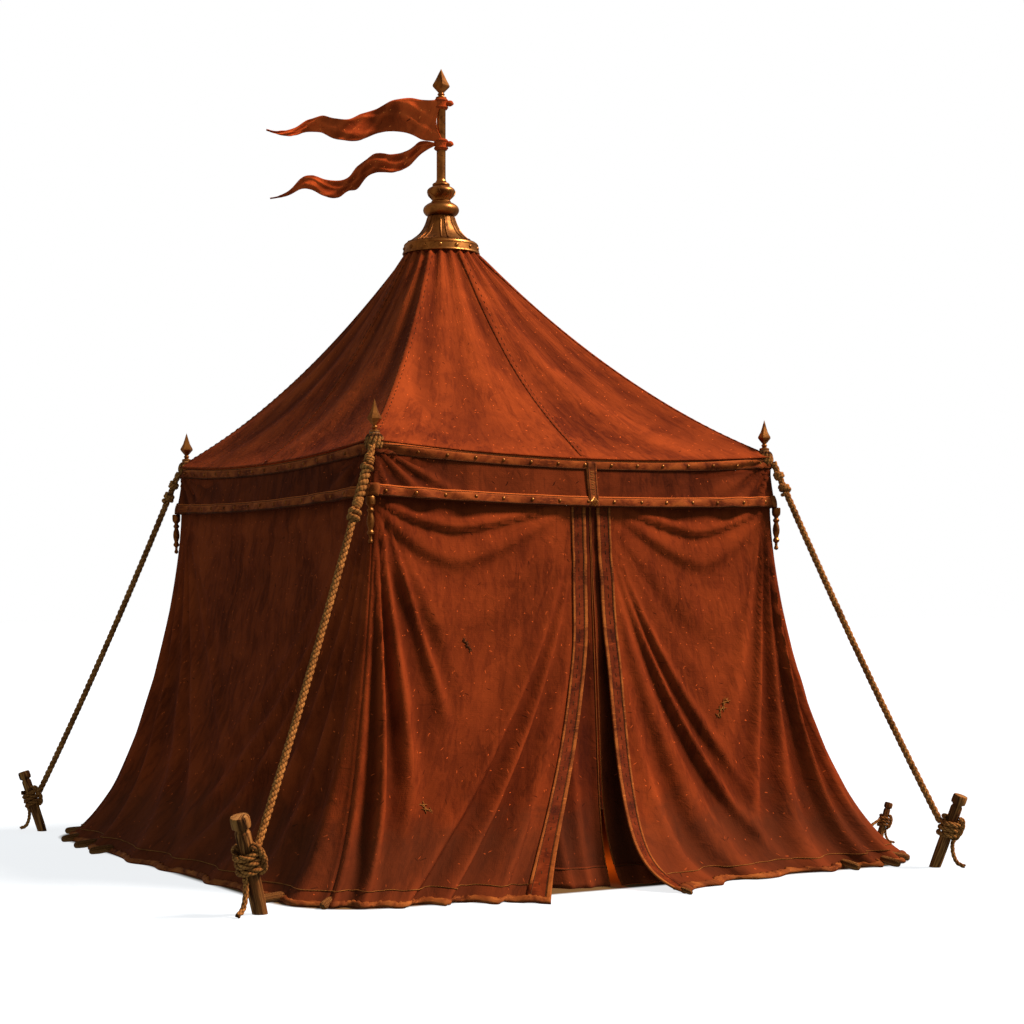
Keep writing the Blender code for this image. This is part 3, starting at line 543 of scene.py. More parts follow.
bronze = bronze_finish("bronze_worn", (0.47, 0.180, 0.042), (0.120, 0.036, 0.009), 0.34)
dark_bronze = bronze_finish("bronze_dark", (0.33, 0.120, 0.028), (0.080, 0.024, 0.006), 0.40)
peg_wood = wood_finish("peg_wood", (0.36, 0.125, 0.028), (0.160, 0.046, 0.010), (0.035, 0.009, 0.002))
cut_wood = wood_finish("cut_wood", (0.44, 0.17, 0.045), (0.30, 0.100, 0.024), (0.15, 0.044, 0.010))
rope = rope_finish("rope_hemp", (0.53, 0.180, 0.038), (0.32, 0.100, 0.020), (0.085, 0.020, 0.004), laid=True)
gold_thread = rope_finish("thread_gold", (0.40, 0.130, 0.024), (0.26, 0.075, 0.013), (0.12, 0.030, 0.006))
dark_thread = rope_finish("thread_dark", (0.14, 0.036, 0.009), (0.075, 0.018, 0.005), (0.030, 0.008, 0.003))
print("finishes made:", len(bpy.data.materials))

# %% [markdown]
# ## How a piece is finished off
#
# Each finished piece rides on the tent's one body. Many also note the slot of the record
# that their finish stands for, and hide the plain solids that they cover. A mesh that repeats
# hundreds of times, such as a rivet or a stitch, is modelled once, and its copies are gathered
# in one mesh.

# %% Helpers that finish a piece
def dress(piece, material, slot=None, covers=(), smooth_angle=None):
    """Give a piece its finish, shade it, and seat it on the tent."""
    piece.data.materials.clear()
    piece.data.materials.append(material)
    if piece.type == "MESH":
        piece.data.shade_smooth()
        if smooth_angle is not None:
            piece.data.set_sharp_from_angle(angle=math.radians(smooth_angle))
    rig.ride(piece, "root")
    if slot:
        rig.slot(piece, slot)
    if covers:
        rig.replaces(piece, *covers)
    return piece


def object_from(name, bm):
    """A new object from a bmesh, with its doubles merged and its faces turned outwards."""
    bmesh.ops.remove_doubles(bm, verts=bm.verts, dist=1e-6)
    bmesh.ops.recalc_face_normals(bm, faces=bm.faces)
    mesh = bpy.data.meshes.new(name)
    bm.to_mesh(mesh)
    bm.free()
    made = bpy.data.objects.new(name, mesh)
    bpy.context.scene.collection.objects.link(made)
    return made


def standing(point, normal, size=1.0, heading=None):
    """Placement of a small part on a surface: its Z axis along the normal, its X along a heading."""
    up = normal.normalized()
    ahead = heading if heading is not None else Vector((0, 0, 1)).cross(up)
    if ahead.length < 1e-4:
        ahead = Vector((1, 0, 0))
    ahead = (ahead - up * ahead.dot(up)).normalized()
    turn = Matrix((ahead, up.cross(ahead), up)).transposed().to_4x4()
    return Matrix.Translation(point) @ turn @ Matrix.Scale(size, 4)


def put_away(model):
    """Delete a model whose copies are all made."""
    bpy.data.objects.remove(model, do_unlink=True)


# %% [markdown]
# ## Rope
#
# Each guy rope is three strands laid round each other. A strand is a tube that winds round
# the rope's own line, and the tube is swept ring by ring, with each ring turned as little as
# possible from the one before. The map of each tube runs along it in metres, so the yarns
# slant across every strand.

# %% Helpers that sweep a tube
def spoke(side, up, angle):
    return side * math.cos(angle) + up * math.sin(angle)


def frames_along(line):
    """Each point of a line with two directions across it, turned as little as possible."""
    side = (line[1] - line[0]).orthogonal()
    for i, point in enumerate(line):
        ahead = (line[min(i + 1, len(line) - 1)] - line[max(i - 1, 0)]).normalized()
        side = (side - ahead * side.dot(ahead)).normalized()
        yield point, side, ahead.cross(side)


def sweep(bm, line, radius, sides, core=None, inner=0.0, outer=1.0, fold=1.0):
    """Add a round tube along a line; the radius is one number or one for each point.

    The attribute fold has one value all over the tube, or, if a core line is given, it says
    how far out from that line each point lies: 0 at the inner distance, 1 at the outer one.
    A finish paints shade where it is low.
    """
    radii = radius if isinstance(radius, list) else [radius] * len(line)
    depth = bm.verts.layers.float.get("fold") or bm.verts.layers.float.new("fold")
    uv = bm.loops.layers.uv.verify()
    rings, walks = [], []
    walked = 0.0
    for i, (point, side, up) in enumerate(frames_along(line)):
        walked += (point - line[i - 1]).length if i else 0.0
        walks.append(walked)
        ring = []
        for k in range(sides):
            vertex = bm.verts.new(point + spoke(side, up, math.tau * k / sides) * radii[i])
            vertex[depth] = fold
            if core:
                vertex[depth] = ((vertex.co - core[i]).length - inner) / (outer - inner)
            ring.append(vertex)
        rings.append(ring)
    for i in range(len(rings) - 1):
        for k in range(sides):
            after = (k + 1) % sides
            face = bm.faces.new((rings[i][k], rings[i][after], rings[i + 1][after], rings[i + 1][k]))
            spots = ((i, k), (i, k + 1), (i + 1, k + 1), (i + 1, k))
            for loop, (row, column) in zip(face.loops, spots):
                loop[uv].uv = (walks[row], column / sides)
    bm.faces.new(list(reversed(rings[0])))
    bm.faces.new(rings[-1])


# %% [markdown]
# ## Routes and strands
#
# A cord's route is given by a few points, and a smooth curve through them gives its line.
# Equal steps along that line let two or three strands wind round it at an even pitch.

# %% Helpers for routes and ropes
TWIST_STEPS = 11


def evenly(route, step):
    """Points along a route at equal steps."""
    points = [Vector(route[0])]
    left = step
    for start, end in zip(route, route[1:]):
        start, end = Vector(start), Vector(end)
        length = (end - start).length
        while length >= left:
            start = start.lerp(end, left / length)
            length = (end - start).length
            points.append(start.copy())
            left = step
        left -= length
    return points


def twist(route, radius, pitch, strands):
    """The lines of the strands that wind round a route, and the route's own line."""
    line = evenly(route, pitch / TWIST_STEPS)
    lines = [[] for _ in range(strands)]
    for i, (point, side, up) in enumerate(frames_along(line)):
        for k in range(strands):
            angle = math.tau * (i / TWIST_STEPS + k / strands)
            lines[k].append(point + spoke(side, up, angle) * radius * 0.50)
    return lines, line


def rope_along(bm, route, radius, pitch, sides=7, strands=3):
    """Add a laid rope along a route."""
    lines, core = twist(route, radius, pitch, strands)
    thick = radius * (0.54 if strands == 3 else 0.60)
    # Each strand's fold attribute says how far out from the rope's line it lies, for painted shade between the
    # strands.
    for line in lines:
        sweep(bm, line, thick, sides, core, 0.0, radius * 0.5 + thick)


def smooth_route(points, count):
    """Points read from a smooth curve through a route's own points."""
    points = [Vector(p) for p in points]
    padded = [points[0] * 2 - points[1]] + points + [points[-1] * 2 - points[-2]]
    route = []
    for n in range(count + 1):
        where = n / count * (len(points) - 1)
        i = min(int(where), len(points) - 2)
        t = where - i
        a, b, c, d = padded[i:i + 4]
        route.append(
            0.5 * (2 * b + (c - a) * t + (2 * a - 5 * b + 4 * c - d) * t * t
                   + (3 * b - a - 3 * c + d) * t ** 3)
        )
    return route


def length_of(route):
    return sum((b - a).length for a, b in zip(route, route[1:]))


# %% [markdown]
# ## The pegs' places, and the free rope ends
#
# Every peg leans away from the tent. Below its turns the rope's end hangs down and lies on
# the ground: these short ends are the only free cords. Each follows the very route of its
# solid, which leaves the turns straight down the peg and curls out over the ground.

# %% Free rope ends
PEG_LEAN = math.radians(20.0)
PEG_TURNS_AT = 0.260
PEG_TURNS_HALF = 0.062
TAIL_RADIUS = 0.013
SKIN = 0.0003
POST_OFFSET = 1.355
CORNERS = {
    "front_left": ((-1, -1), (-2.178, -2.016), 1.18),
    "front_right": ((1, -1), (2.028, -2.352), 1.00),
    "back_left": ((-1, 1), (-1.940, 2.118), 0.93),
    "back_right": ((1, 1), (2.230, 2.080), 1.00),
}
SIDE_PEG_FOOT = (2.470, -1.350)
SIDE_PEG_SCALE = 0.62


def post_axis(signs):
    return CENTRE + Vector((signs[0] * POST_OFFSET, signs[1] * POST_OFFSET, 0))


def peg_frame(foot, lean):
    """Placement of a peg, whose Z axis runs up the leaning shaft from the ground."""
    outward = Vector((lean[0], lean[1], 0)).normalized()
    axis = outward * math.sin(PEG_LEAN) + Vector((0, 0, math.cos(PEG_LEAN)))
    side = axis.cross(outward).normalized()
    turn = Matrix((side.cross(axis), side, axis)).transposed().to_4x4()
    return Matrix.Translation(Vector((foot[0], foot[1], 0))) @ turn, axis, outward


def tail_route(place, axis, outward, scale):
    start = place.translation + (
        place.col[0].to_3d() * 0.051 + axis * (PEG_TURNS_AT - PEG_TURNS_HALF - SKIN)
    ) * scale
    drop = start - axis * 0.030 * scale
    low = Vector((drop.x, drop.y, 0))
    rest = TAIL_RADIUS * scale + 0.001
    bends = [
        drop,
        low + outward * 0.006 + Vector((0, 0, start.z * 0.50)),
        low + outward * 0.030 + Vector((0, 0, start.z * 0.20)),
        low + outward * 0.075 + Vector((0, 0, rest)),
    ]
    return [start] + smooth_route(bends, 18)


pegs = {}
for name, (signs, foot, scale) in CORNERS.items():
    corner = post_axis(signs)
    pegs[name] = (*peg_frame(foot, (foot[0] - corner.x, foot[1] - corner.y)), scale)
pegs["side"] = (*peg_frame(SIDE_PEG_FOOT, (1, 0)), SIDE_PEG_SCALE)

for name, (place, axis, outward, scale) in pegs.items():
    route = tail_route(place, axis, outward, scale)
    radius = TAIL_RADIUS * scale
    bm = bmesh.new()
    rope_along(bm, route, radius, radius * 6.0)
    tail = dress(object_from("rope_end_" + name, bm), rope, "rope", ["rope_tail_" + name])
    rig.cord(tail, exit=route[0], length=length_of(route), diameter=radius * 2, far_end="bare",
            stiffness="limp", lay="hanging", path=route)
    print("rope end %s: %.3f m" % (name, length_of(route)))

# %% [markdown]
# ## Hanging cloth
#
# A cloth is a fine grid whose points are laid where the real cloth hangs. The even shape of
# each wall, roof gore and valance is the built one: it is worked out here from the same
# driving sizes. The folds come on top. Real canvas folds in ways that can be written down:
# it fans out in creases from wherever it is pinned, and it sags in swags between two pins.
# A simulation gives folds too, but not where this tent has them, so they are laid by rule.

# %% Helpers that hang a cloth
NUDGE = 0.003


def hang_cloth(name, columns, rows, place, size, facing, thickness):
    """A cloth laid at place(u, v), which gives a point and its fold tone, painted as light and shade."""
    bpy.ops.object.select_all(action="DESELECT")
    bpy.ops.mesh.primitive_grid_add(x_subdivisions=columns, y_subdivisions=rows, size=1)
    piece = bpy.context.object
    piece.name = name
    piece.data.name = name
    mesh = piece.data
    folds = []
    for vertex in mesh.vertices:
        point, fold = place(vertex.co.x + 0.5, vertex.co.y + 0.5)
        vertex.co = point
        folds.append(fold)
    # The fold attribute holds each point's tone: the finish paints shade where it is low and a highlight where it is
    # high.
    mesh.attributes.new("fold", "FLOAT", "POINT").data.foreach_set("value", folds)
    for loop in mesh.uv_layers.active.data:
        loop.uv = (loop.uv.x * size[0], loop.uv.y * size[1])
    mesh.update()
    middle = mesh.polygons[len(mesh.polygons) // 2]
    if middle.normal.dot(facing) < 0:
        mesh.flip_normals()
    wall = piece.modifiers.new("thickness", "SOLIDIFY")
    wall.thickness = thickness
    wall.offset = -1.0
    bpy.ops.object.modifier_apply(modifier=wall.name)
    return piece


cloths = {}
sewn = {}


def note_cloth(piece, held, rests_on):
    """Remember how a cloth hangs, so that it is declared once all its trims are sewn on."""
    cloths[piece.name] = {"obj": piece, "held": held, "rests_on": rests_on}
    sewn[piece.name] = []


def lifted(place, height, crown=0.0):
    """The same cloth raised off itself along its own normal, by a crown more along its middle."""
    def raised(u, v):
        here, fold = place(u, v)
        across = place(min(u + NUDGE, 1.0), v)[0] - place(max(u - NUDGE, 0.0), v)[0]
        down = place(u, min(v + NUDGE, 1.0))[0] - place(u, max(v - NUDGE, 0.0))[0]
        normal = across.cross(down).normalized()
        away = here - CENTRE
        away.z = 0.3
        if normal.dot(away) < 0:
            normal = -normal
        return here + normal * (height + crown * (1 - (2 * v - 1) ** 2)), fold
    return raised


def part_of(place, u0, u1, v0, v1):
    """A window of a cloth, stretched over 0 to 1 both ways."""
    return lambda u, v: place(u0 + (u1 - u0) * u, v0 + (v1 - v0) * v)


def surface_normal(place, u, v):
    return (lifted(place, 1.0)(u, v)[0] - place(u, v)[0]).normalized()


def smooth_step(x):
    x = min(max(x, 0.0), 1.0)
    return x * x * (3 - 2 * x)


def crest(x, seed):
    """Folds across a line, about one to a unit: sharp crests, round valleys, -1 to 1."""
    x += 0.5 * noise.noise((x * 0.8, seed, 0.3))
    return 2.0 * (0.5 + 0.5 * math.cos(math.tau * x)) ** 1.7 - 1.0


# %% [markdown]
# ## The even shape of the walls
#
# In plan the walls are a rounded square that grows from the eave to the hem. They fall
# almost straight at first and sweep outwards at the ground, where the cloth is pegged out.

# %% Wall shape
WALL_TOP = 2.375
WALL_FREE = 2.150
WALL_HALF = 1.3905
WALL_CORNER = 0.0355
HEM_SPREAD = 0.690
HEM_CORNER = 0.4645
CLOTH = 0.004
SIDES = {
    "front": (Vector((0, -1, 0)), Vector((1, 0, 0))),
    "right": (Vector((1, 0, 0)), Vector((0, 1, 0))),
    "back": (Vector((0, 1, 0)), Vector((-1, 0, 0))),
    "left": (Vector((-1, 0, 0)), Vector((0, -1, 0))),
}


def fallen(z):
    return max(0.0, 1.0 - z / WALL_FREE)


def flare(z):
    u = fallen(z)
    return 0.72 * u ** 1.6 + 0.28 * u ** 9


def wall_plan(z):
    return WALL_HALF + HEM_SPREAD * flare(z), WALL_CORNER + HEM_CORNER * flare(z)


def on_side(side, along, out, z):
    normal, tangent = SIDES[side]
    return CENTRE + normal * out + tangent * along + Vector((0, 0, z))


def round_the_plan(half, corner, walk, lift=0.0):
    """A place along one side, walked from its middle and on round half of each corner."""
    straight = half - corner
    if abs(walk) <= straight:
        return walk, half + lift
    angle = (abs(walk) - straight) / corner
    along = straight + (corner + lift) * math.sin(angle)
    return math.copysign(along, walk), straight + (corner + lift) * math.cos(angle)


def reach_of(half, corner):
    return half - corner + corner * math.pi / 4


# %% [markdown]
# ## Folds
#
# Each wall panel hangs from two pins: the corners of the eave, or a corner and the top of
# the door. The creases fan out from both pins and sweep towards the far side as they drop.
# Between the pins the cloth sags in swags, deep ones near the top that fade with height.
# At a corner the folds die out, so that two walls meet cleanly there.

# %% Fold pattern of a panel
FOLD_DEPTH = 0.058
FAN_REACH = 0.80
HEM_LIFT = 0.008
EVEN_SPLIT = (0.5, 0.0)
EVEN_SWAGS = (0.030, 0.5, 2.0)
SWAG_STEP = 0.215
SWAG_RISE = 0.72
EAVE_SHADE = 0.12
BAND_WIDE = 0.098
BAND_SHARE = 0.22
TIED_EASE = 0.030


def fan_spread(fall):
    return fall ** 1.3 + 0.08


def drape(t, z, seed, creases, split, swags):
    """How far a panel stands out at a share t of its width and a height, and its fold tone.

    Left of the split the creases fan out from the first pin, and right of it from the last,
    so the two fans meet in chevrons and never cross. The swags are given by their depth, by
    where along the panel they hang lowest, and by how round they are.
    """
    fall = fallen(z)
    beyond = smooth_step((t - split[0] - split[1] * fall) / 0.26 + 0.5)
    total = 0.0
    for near, key, weight in ((t, seed, 1 - beyond), (1 - t, seed + 7.7, beyond)):
        angle = max(near, 0.0) / fan_spread(fall)
        fade = math.exp(-(angle / FAN_REACH) ** 4)
        total += weight * fade * crest(creases * angle ** 0.62 + key * 0.37, key)
    depth, lowest, roundness = swags
    evened = max(t, 0.0) ** (math.log(0.5) / math.log(lowest))
    across = max(1 - abs(2 * evened - 1) ** roundness, 0.0)
    hang = (max(WALL_FREE - z, 0.0) + 0.03) / (across + 0.06)
    ring = math.log(hang / SWAG_STEP) / math.log(2.0) % 1.0
    swag = smooth_step(ring / SWAG_RISE) if ring < SWAG_RISE else smooth_step((1 - ring) / (1 - SWAG_RISE))
    swag *= math.exp(-hang / 0.90) * across ** 0.7 * smooth_step(hang / 0.12 - 0.6)
    crumple = noise.noise((t * 5.0, z * 3.0, seed)) * 0.012 + noise.noise((t * 16.0, z * 9.0, seed)) * 0.003
    out = FOLD_DEPTH * (total + 0.25) * fall ** 0.75 + depth * swag + crumple * min(fall * 3, 1.0)
    # The tone is painted light and shade: shade in the hollows of the creases, a highlight on their crests and on the
    # lit upper face of each swag.
    tone = 0.5 + 0.36 * total * min(fall * 3.5, 1.0) + 13.0 * depth * (swag - 0.25) * across
    # A painted shadow of the valance darkens the cloth just under the eave.
    tone -= 0.35 * (1 - smooth_step((WALL_FREE - z) / EAVE_SHADE))
    return out, tone


def panel(side, first_edge, last_edge, seed, creases, bulge=None, split=EVEN_SPLIT, swags=EVEN_SWAGS,
          tied=None, bound=None, taut=1.0):
    """place(u, v) of a wall panel between two edges, from under the eave down to the hem.

    A bound edge has a stiff band: 0 for the first edge or 1 for the last. The cloth keeps
    one fold all across it. A tied panel lies flat between two lines of its first fan, and
    a taut one has only a share of the folds' depth.
    """
    def place(u, v):
        v = min(max(v, 0.0), 1.0)
        z = WALL_TOP * (1 - v)
        half, corner = wall_plan(z)
        reach = reach_of(half, corner)
        first, last = first_edge(z, reach), last_edge(z, reach)
        stiff = BAND_WIDE / (last - first)
        drawn = u
        if bound is not None:
            drawn = min(u, 1 - stiff) if bound else max(u, stiff)
        out, tone = drape(drawn, z, seed, creases, split, swags)
        out *= taut
        # A taut panel has its painted fold light and shade weakened as well.
        tone = 0.5 + (tone - 0.5) * taut
        for edge, near in enumerate((u, 1 - u)):
            calm = smooth_step(near / 0.05)
            if edge == bound:
                calm = BAND_SHARE + (1 - BAND_SHARE) * smooth_step((near - stiff) / 0.20)
                tone = 0.5 + (tone - 0.5) * calm
            out *= calm
        out = max(out, -0.17 * flare(z)) if z < WALL_FREE else 0.0
        walk = first + (last - first) * u
        if tied:
            line = u / fan_spread(fallen(z))
            out *= smooth_step(max(tied[0] - line, line - tied[1], 0.0) / TIED_EASE)
        if bulge:
            out += bulge(u, fallen(z))
        along, far = round_the_plan(half, corner, walk, out)
        low = z + HEM_LIFT * taut * smooth_step((v - 0.93) / 0.07) * (0.5 - 0.5 * crest(u * 9.0, seed + 2.0))
        return on_side(side, along, far, max(low, 0.004)), tone
    return place


def corner_low(z, reach):
    return -reach


def corner_high(z, reach):
    return reach


PANEL_SIZE = (3.6, 2.75)
WALL_DIVISIONS = (150, 96)
LEFT_TAUT = 0.55
CORNER_IN = 0.050
LEFT_OUT = 0.060


def left_corner_in(near, fall):
    """How far the hem is drawn in at the back left corner, at a share of a panel from it."""
    return -CORNER_IN * fall ** 4 * (1 - smooth_step(near / 0.2))


def left_bulge(u, fall):
    drawn_out = LEFT_OUT * fall ** 4 * math.exp(-((u - 0.38) / 0.2) ** 2) * smooth_step(u / 0.2)
    return drawn_out + left_corner_in(u, fall)


walls = {}
for side, seed, taut, bulge, tied in (
    ("left", 3.1, LEFT_TAUT, left_bulge, None),
    ("back", 5.6, 1.0, lambda u, fall: left_corner_in(1 - u, fall), None),
    ("right", 8.4, 1.0, None, (0.150, 0.178)),
):
    walls[side] = panel(side, corner_low, corner_high, seed, creases=7.0, bulge=bulge, tied=tied, taut=taut)
    piece = hang_cloth("wall_cloth_" + side, *WALL_DIVISIONS, walls[side], PANEL_SIZE, SIDES[side][0], CLOTH)
    dress(piece, canvas, "canvas", ["wall_" + side])
    note_cloth(piece, "hung", ["valance_" + side])
    print(piece.name, len(piece.data.polygons), "faces")

# %% [markdown]
# ## The door
#
# The front wall is two flaps that meet behind the valance. The left one is drawn far aside
# at the ground and the right one hangs nearly straight. Behind them two plain curtains
# close the doorway but for a leaning slit.

# %% Door flaps and curtains
FLAP_BULGE = 0.150
LEFT_TIP_OUT = 0.170
LEFT_TIP_ASIDE = 0.140
RIGHT_TIP_OUT = 0.200
RIGHT_TIP_ASIDE = 0.115
CURTAIN_SPREAD = 0.460
CURTAIN_SPREAD_AT_SLIT = 0.160
CURTAIN_LEFT = -0.950
CURTAIN_RIGHT = 0.850
FLAP_SIZE = (1.75, 2.75)
CURTAIN_SIZE = (1.05, 2.65)
FLAP_DIVISIONS = (96, 104)
CURTAIN_DIVISIONS = (56, 70)


def left_flap_edge(z, reach=0.0):
    fall = fallen(z)
    return 0.005 - 0.735 * fall ** 2.5 - LEFT_TIP_ASIDE * fall ** 8


def right_flap_edge(z, reach=0.0):
    fall = fallen(z)
    return 0.085 - 0.200 * fall ** 2.6 + 0.200 * fall ** 30 - RIGHT_TIP_ASIDE * fall ** 8


def flap_bulge(near, fall, tip_out):
    """How far a flap stands forward where it is drawn out, at a share near of its width."""
    return FLAP_BULGE * fall ** 3 * near ** 2 + tip_out * fall ** 8 * near ** 6


flaps = {
    "left": panel("front", corner_low, left_flap_edge, 1.3, creases=4.6, split=(0.55, -0.38), bound=1,
                  swags=(0.042, 0.38, 1.5), bulge=lambda u, fall: flap_bulge(u, fall, LEFT_TIP_OUT)),
    "right": panel("front", right_flap_edge, corner_high, 6.2, creases=5.6, bound=0, taut=0.80,
                   swags=(0.050, 0.55, 1.5), bulge=lambda u, fall: flap_bulge(1 - u, fall, RIGHT_TIP_OUT)),
}
for hand, place in flaps.items():
    piece = hang_cloth("door_cloth_" + hand, *FLAP_DIVISIONS, place, FLAP_SIZE, SIDES["front"][0], CLOTH)
    dress(piece, canvas, "canvas", ["door_flap_" + hand])
    note_cloth(piece, "hung", ["valance_front"])
    print(piece.name, len(piece.data.polygons), "faces")


def curtain(sign, far_edge, seed):
    def place(u, v):
        z = (WALL_TOP - 0.001) * (1 - v)
        fall = fallen(z)
        gap = 0.0005 + 0.004 * smooth_step((fall - 0.15) / 0.2) + 0.034 * fall ** 9
        near = 0.045 - 0.235 * fall ** 2.2 + sign * gap
        # The fold tone paints shade in the curtain's hollows and a highlight on its crests.
        tone = crest(u * 5.0 + 0.2 * v, seed)
        spread = CURTAIN_SPREAD + CURTAIN_SPREAD_AT_SLIT * (1 - smooth_step((u - 0.25) / 0.35))
        out = WALL_HALF - CLOTH - SKIN + spread * flare(z)
        out += 0.012 * (tone - 1.0) * min(fall * 2.5, 1.0) * smooth_step(u / 0.04)
        # Painted shade darkens the curtain towards its top, under the valance.
        shade = 0.35 + 0.65 * smooth_step(fall / 0.30)
        return on_side("front", near + (far_edge - near) * u, out, max(z, 0.004)), (0.5 + 0.3 * tone) * shade
    return place


curtains = {"left": curtain(-1, CURTAIN_LEFT, 2.0), "right": curtain(1, CURTAIN_RIGHT, 9.0)}
for hand, place in curtains.items():
    piece = hang_cloth("curtain_cloth_" + hand, *CURTAIN_DIVISIONS, place, CURTAIN_SIZE,
                       SIDES["front"][0], CLOTH)
    dress(piece, lining, "lining", ["door_curtain_" + hand])
    note_cloth(piece, "hung", ["valance_front"])
print("flaps and curtains:", len(flaps) + len(curtains))

# %% [markdown]
# ## The roof
#
# Each roof gore is gathered under the crown into small pleats, which open out as they run
# down the slope. The hips and the middle seam of each gore are doubled cloth, so they
# stand up as low ridges. The gore sags between them, and a few long creases run down it.

# %% Roof gores
EAVE_CORNER = 2.460
EAVE_SAG = 0.055
ROOF_HALF = 1.410
ROOF_CORNER = 0.055
ROOF_TOP = 3.790
ROOF_TOP_RADIUS = 0.232
ROOF_HOLLOW = 0.44
ROOF_DEPTH = CLOTH * 1.4
ROOF_PLEATS = 6
ROOF_SIZE = (2.80, 2.15)
ROOF_DIVISIONS = (132, 84)


def eave_sag(share):
    """How far the eave has sagged at a place along a side, as a share of the sag at its middle."""
    return 1 - min(abs(share), 1.0) ** 2


def gore(side, seed):
    def place(u, t):
        share = u * 2 - 1
        walk = share * reach_of(ROOF_HALF, ROOF_CORNER)
        straight = ROOF_HALF - ROOF_CORNER
        along, out = round_the_plan(ROOF_HALF, ROOF_CORNER, walk)
        normal, tangent = SIDES[side]
        angle = share * math.pi / 4
        top = (normal * math.cos(angle) + tangent * math.sin(angle)) * ROOF_TOP_RADIUS
        low = EAVE_CORNER - EAVE_SAG * eave_sag(walk / straight)
        height = low + (ROOF_TOP - low) * ((1 - t) - ROOF_HOLLOW * t * (1 - t))
        flat = top.lerp(on_side(side, along, out, 0.0), t)
        pleat = math.cos(math.tau * ROOF_PLEATS * (u + 0.010 * noise.noise((u * 9.0, seed, 0.0))))
        gathers = pleat * (0.30 + 0.70 * math.exp(-t / 0.22)) * (1 - smooth_step((t - 0.50) / 0.45))
        long_crease = crest(u * 3.0 + 0.35 * math.sin(3.0 * t + seed), seed) * smooth_step(t / 0.25)
        long_crease *= 1 - smooth_step((t - 0.86) / 0.14)
        ridge = math.exp(-((abs(share) - 1.0) / 0.022) ** 2) + math.exp(-(share / 0.012) ** 2) * 0.6
        crumple = noise.noise((u * 7.0, t * 6.0, seed)) * 0.006
        crumple += noise.noise((u * 21.0, t * 17.0, seed)) * 0.002
        calm = smooth_step(t / 0.04) * (1 - 0.8 * smooth_step((t - 0.93) / 0.07))
        lift = 0.013 * gathers + 0.012 * long_crease * (1 - abs(share) ** 8)
        lift += (0.006 * ridge + crumple * (1 - abs(share) ** 12)) * calm
        # The tone paints light and shade on the pleats and long creases.
        return Vector((flat.x, flat.y, height + lift)), 0.5 + 0.30 * gathers + 0.22 * long_crease
    return place


gores = {}
for side, seed in (("front", 1.7), ("left", 4.4), ("back", 7.3), ("right", 9.9)):
    gores[side] = gore(side, seed)
    piece = hang_cloth("roof_cloth_" + side, *ROOF_DIVISIONS, gores[side], ROOF_SIZE,
                       SIDES[side][0] + Vector((0, 0, 1)), CLOTH)
    dress(piece, painted_light_roof_canvas, "canvas", ["roof_" + side])
    posts = ["corner_post_" + corner for corner in CORNERS if side in corner]
    note_cloth(piece, "stretched", posts + ["mast_pole"])
    print(piece.name, len(piece.data.polygons), "faces")

# %% [markdown]
# ## The valance
#
# A band of canvas hides the top of the walls. It is tied at the corner posts, so short
# creases run out from each post, and its lower edge stands a little away from the wall.

# %% Valance cloth
VALANCE_BOTTOM = 2.150
VALANCE_SAG = 0.030
VALANCE_FLARE = 0.030
VALANCE_FLARE_TOP = 2.350
VALANCE_SIZE = (2.82, 0.31)
VALANCE_DIVISIONS = (120, 18)


def valance(side, seed):
    def place(u, v):
        share = u * 2 - 1
        half = WALL_HALF + SKIN + CLOTH
        corner = WALL_CORNER + SKIN + CLOTH
        walk = share * reach_of(half, corner)
        sag = eave_sag(walk / (half - corner))
        top = EAVE_CORNER - EAVE_SAG * sag - ROOF_DEPTH - SKIN
        z = top + (VALANCE_BOTTOM - VALANCE_SAG * sag - top) * v
        low = max(0.0, VALANCE_FLARE_TOP - z) / (VALANCE_FLARE_TOP - VALANCE_BOTTOM)
        ease = VALANCE_FLARE * low ** 1.3
        near = 1 - abs(share)
        slope = math.atan2(v * VALANCE_SIZE[1], near * WALL_HALF + 0.02)
        fan = crest(slope * 3.1 + 0.6, seed + math.copysign(1.0, share)) * math.exp(-(near / 0.42) ** 2)
        ripple = crest(share * 4.0, seed + 3.0) * v
        lift = 0.012 * fan * smooth_step(near / 0.05) + 0.007 * ripple * smooth_step(near / 0.06)
        along, out = round_the_plan(half + ease, corner + ease, walk * (1 + ease / half), lift)
        # The tone paints light and shade on the creases and ripples.
        return on_side(side, along, out, z), 0.5 + 0.42 * fan + 0.16 * ripple
    return place


valances = {}
for side, seed in (("front", 2.2), ("left", 3.9), ("back", 5.1), ("right", 6.6)):
    valances[side] = valance(side, seed)
    piece = hang_cloth("valance_cloth_" + side, *VALANCE_DIVISIONS, valances[side], VALANCE_SIZE,
                       SIDES[side][0], CLOTH)
    dress(piece, painted_shade_canvas, "canvas", ["valance_" + side])
    note_cloth(piece, "hung", ["roof_" + side])
print("valances:", ", ".join(valances))

# %% [markdown]
# ## Turned pieces
#
# The bronze pieces and the wooden pegs are turned shapes. A disc is drawn up through a row
# of radii and heights, with one extrude and one resize at each step. Many sides give a
# round ring, and four or six give the flat facets of a spear head.

# %% Helpers for turned pieces
POINT = 0.0004


def eased(profile, count):
    """More steps for a profile, on a smooth curve through its own."""
    return [(spot.x, spot.z) for spot in smooth_route([(r, 0, z) for r, z in profile], count)]


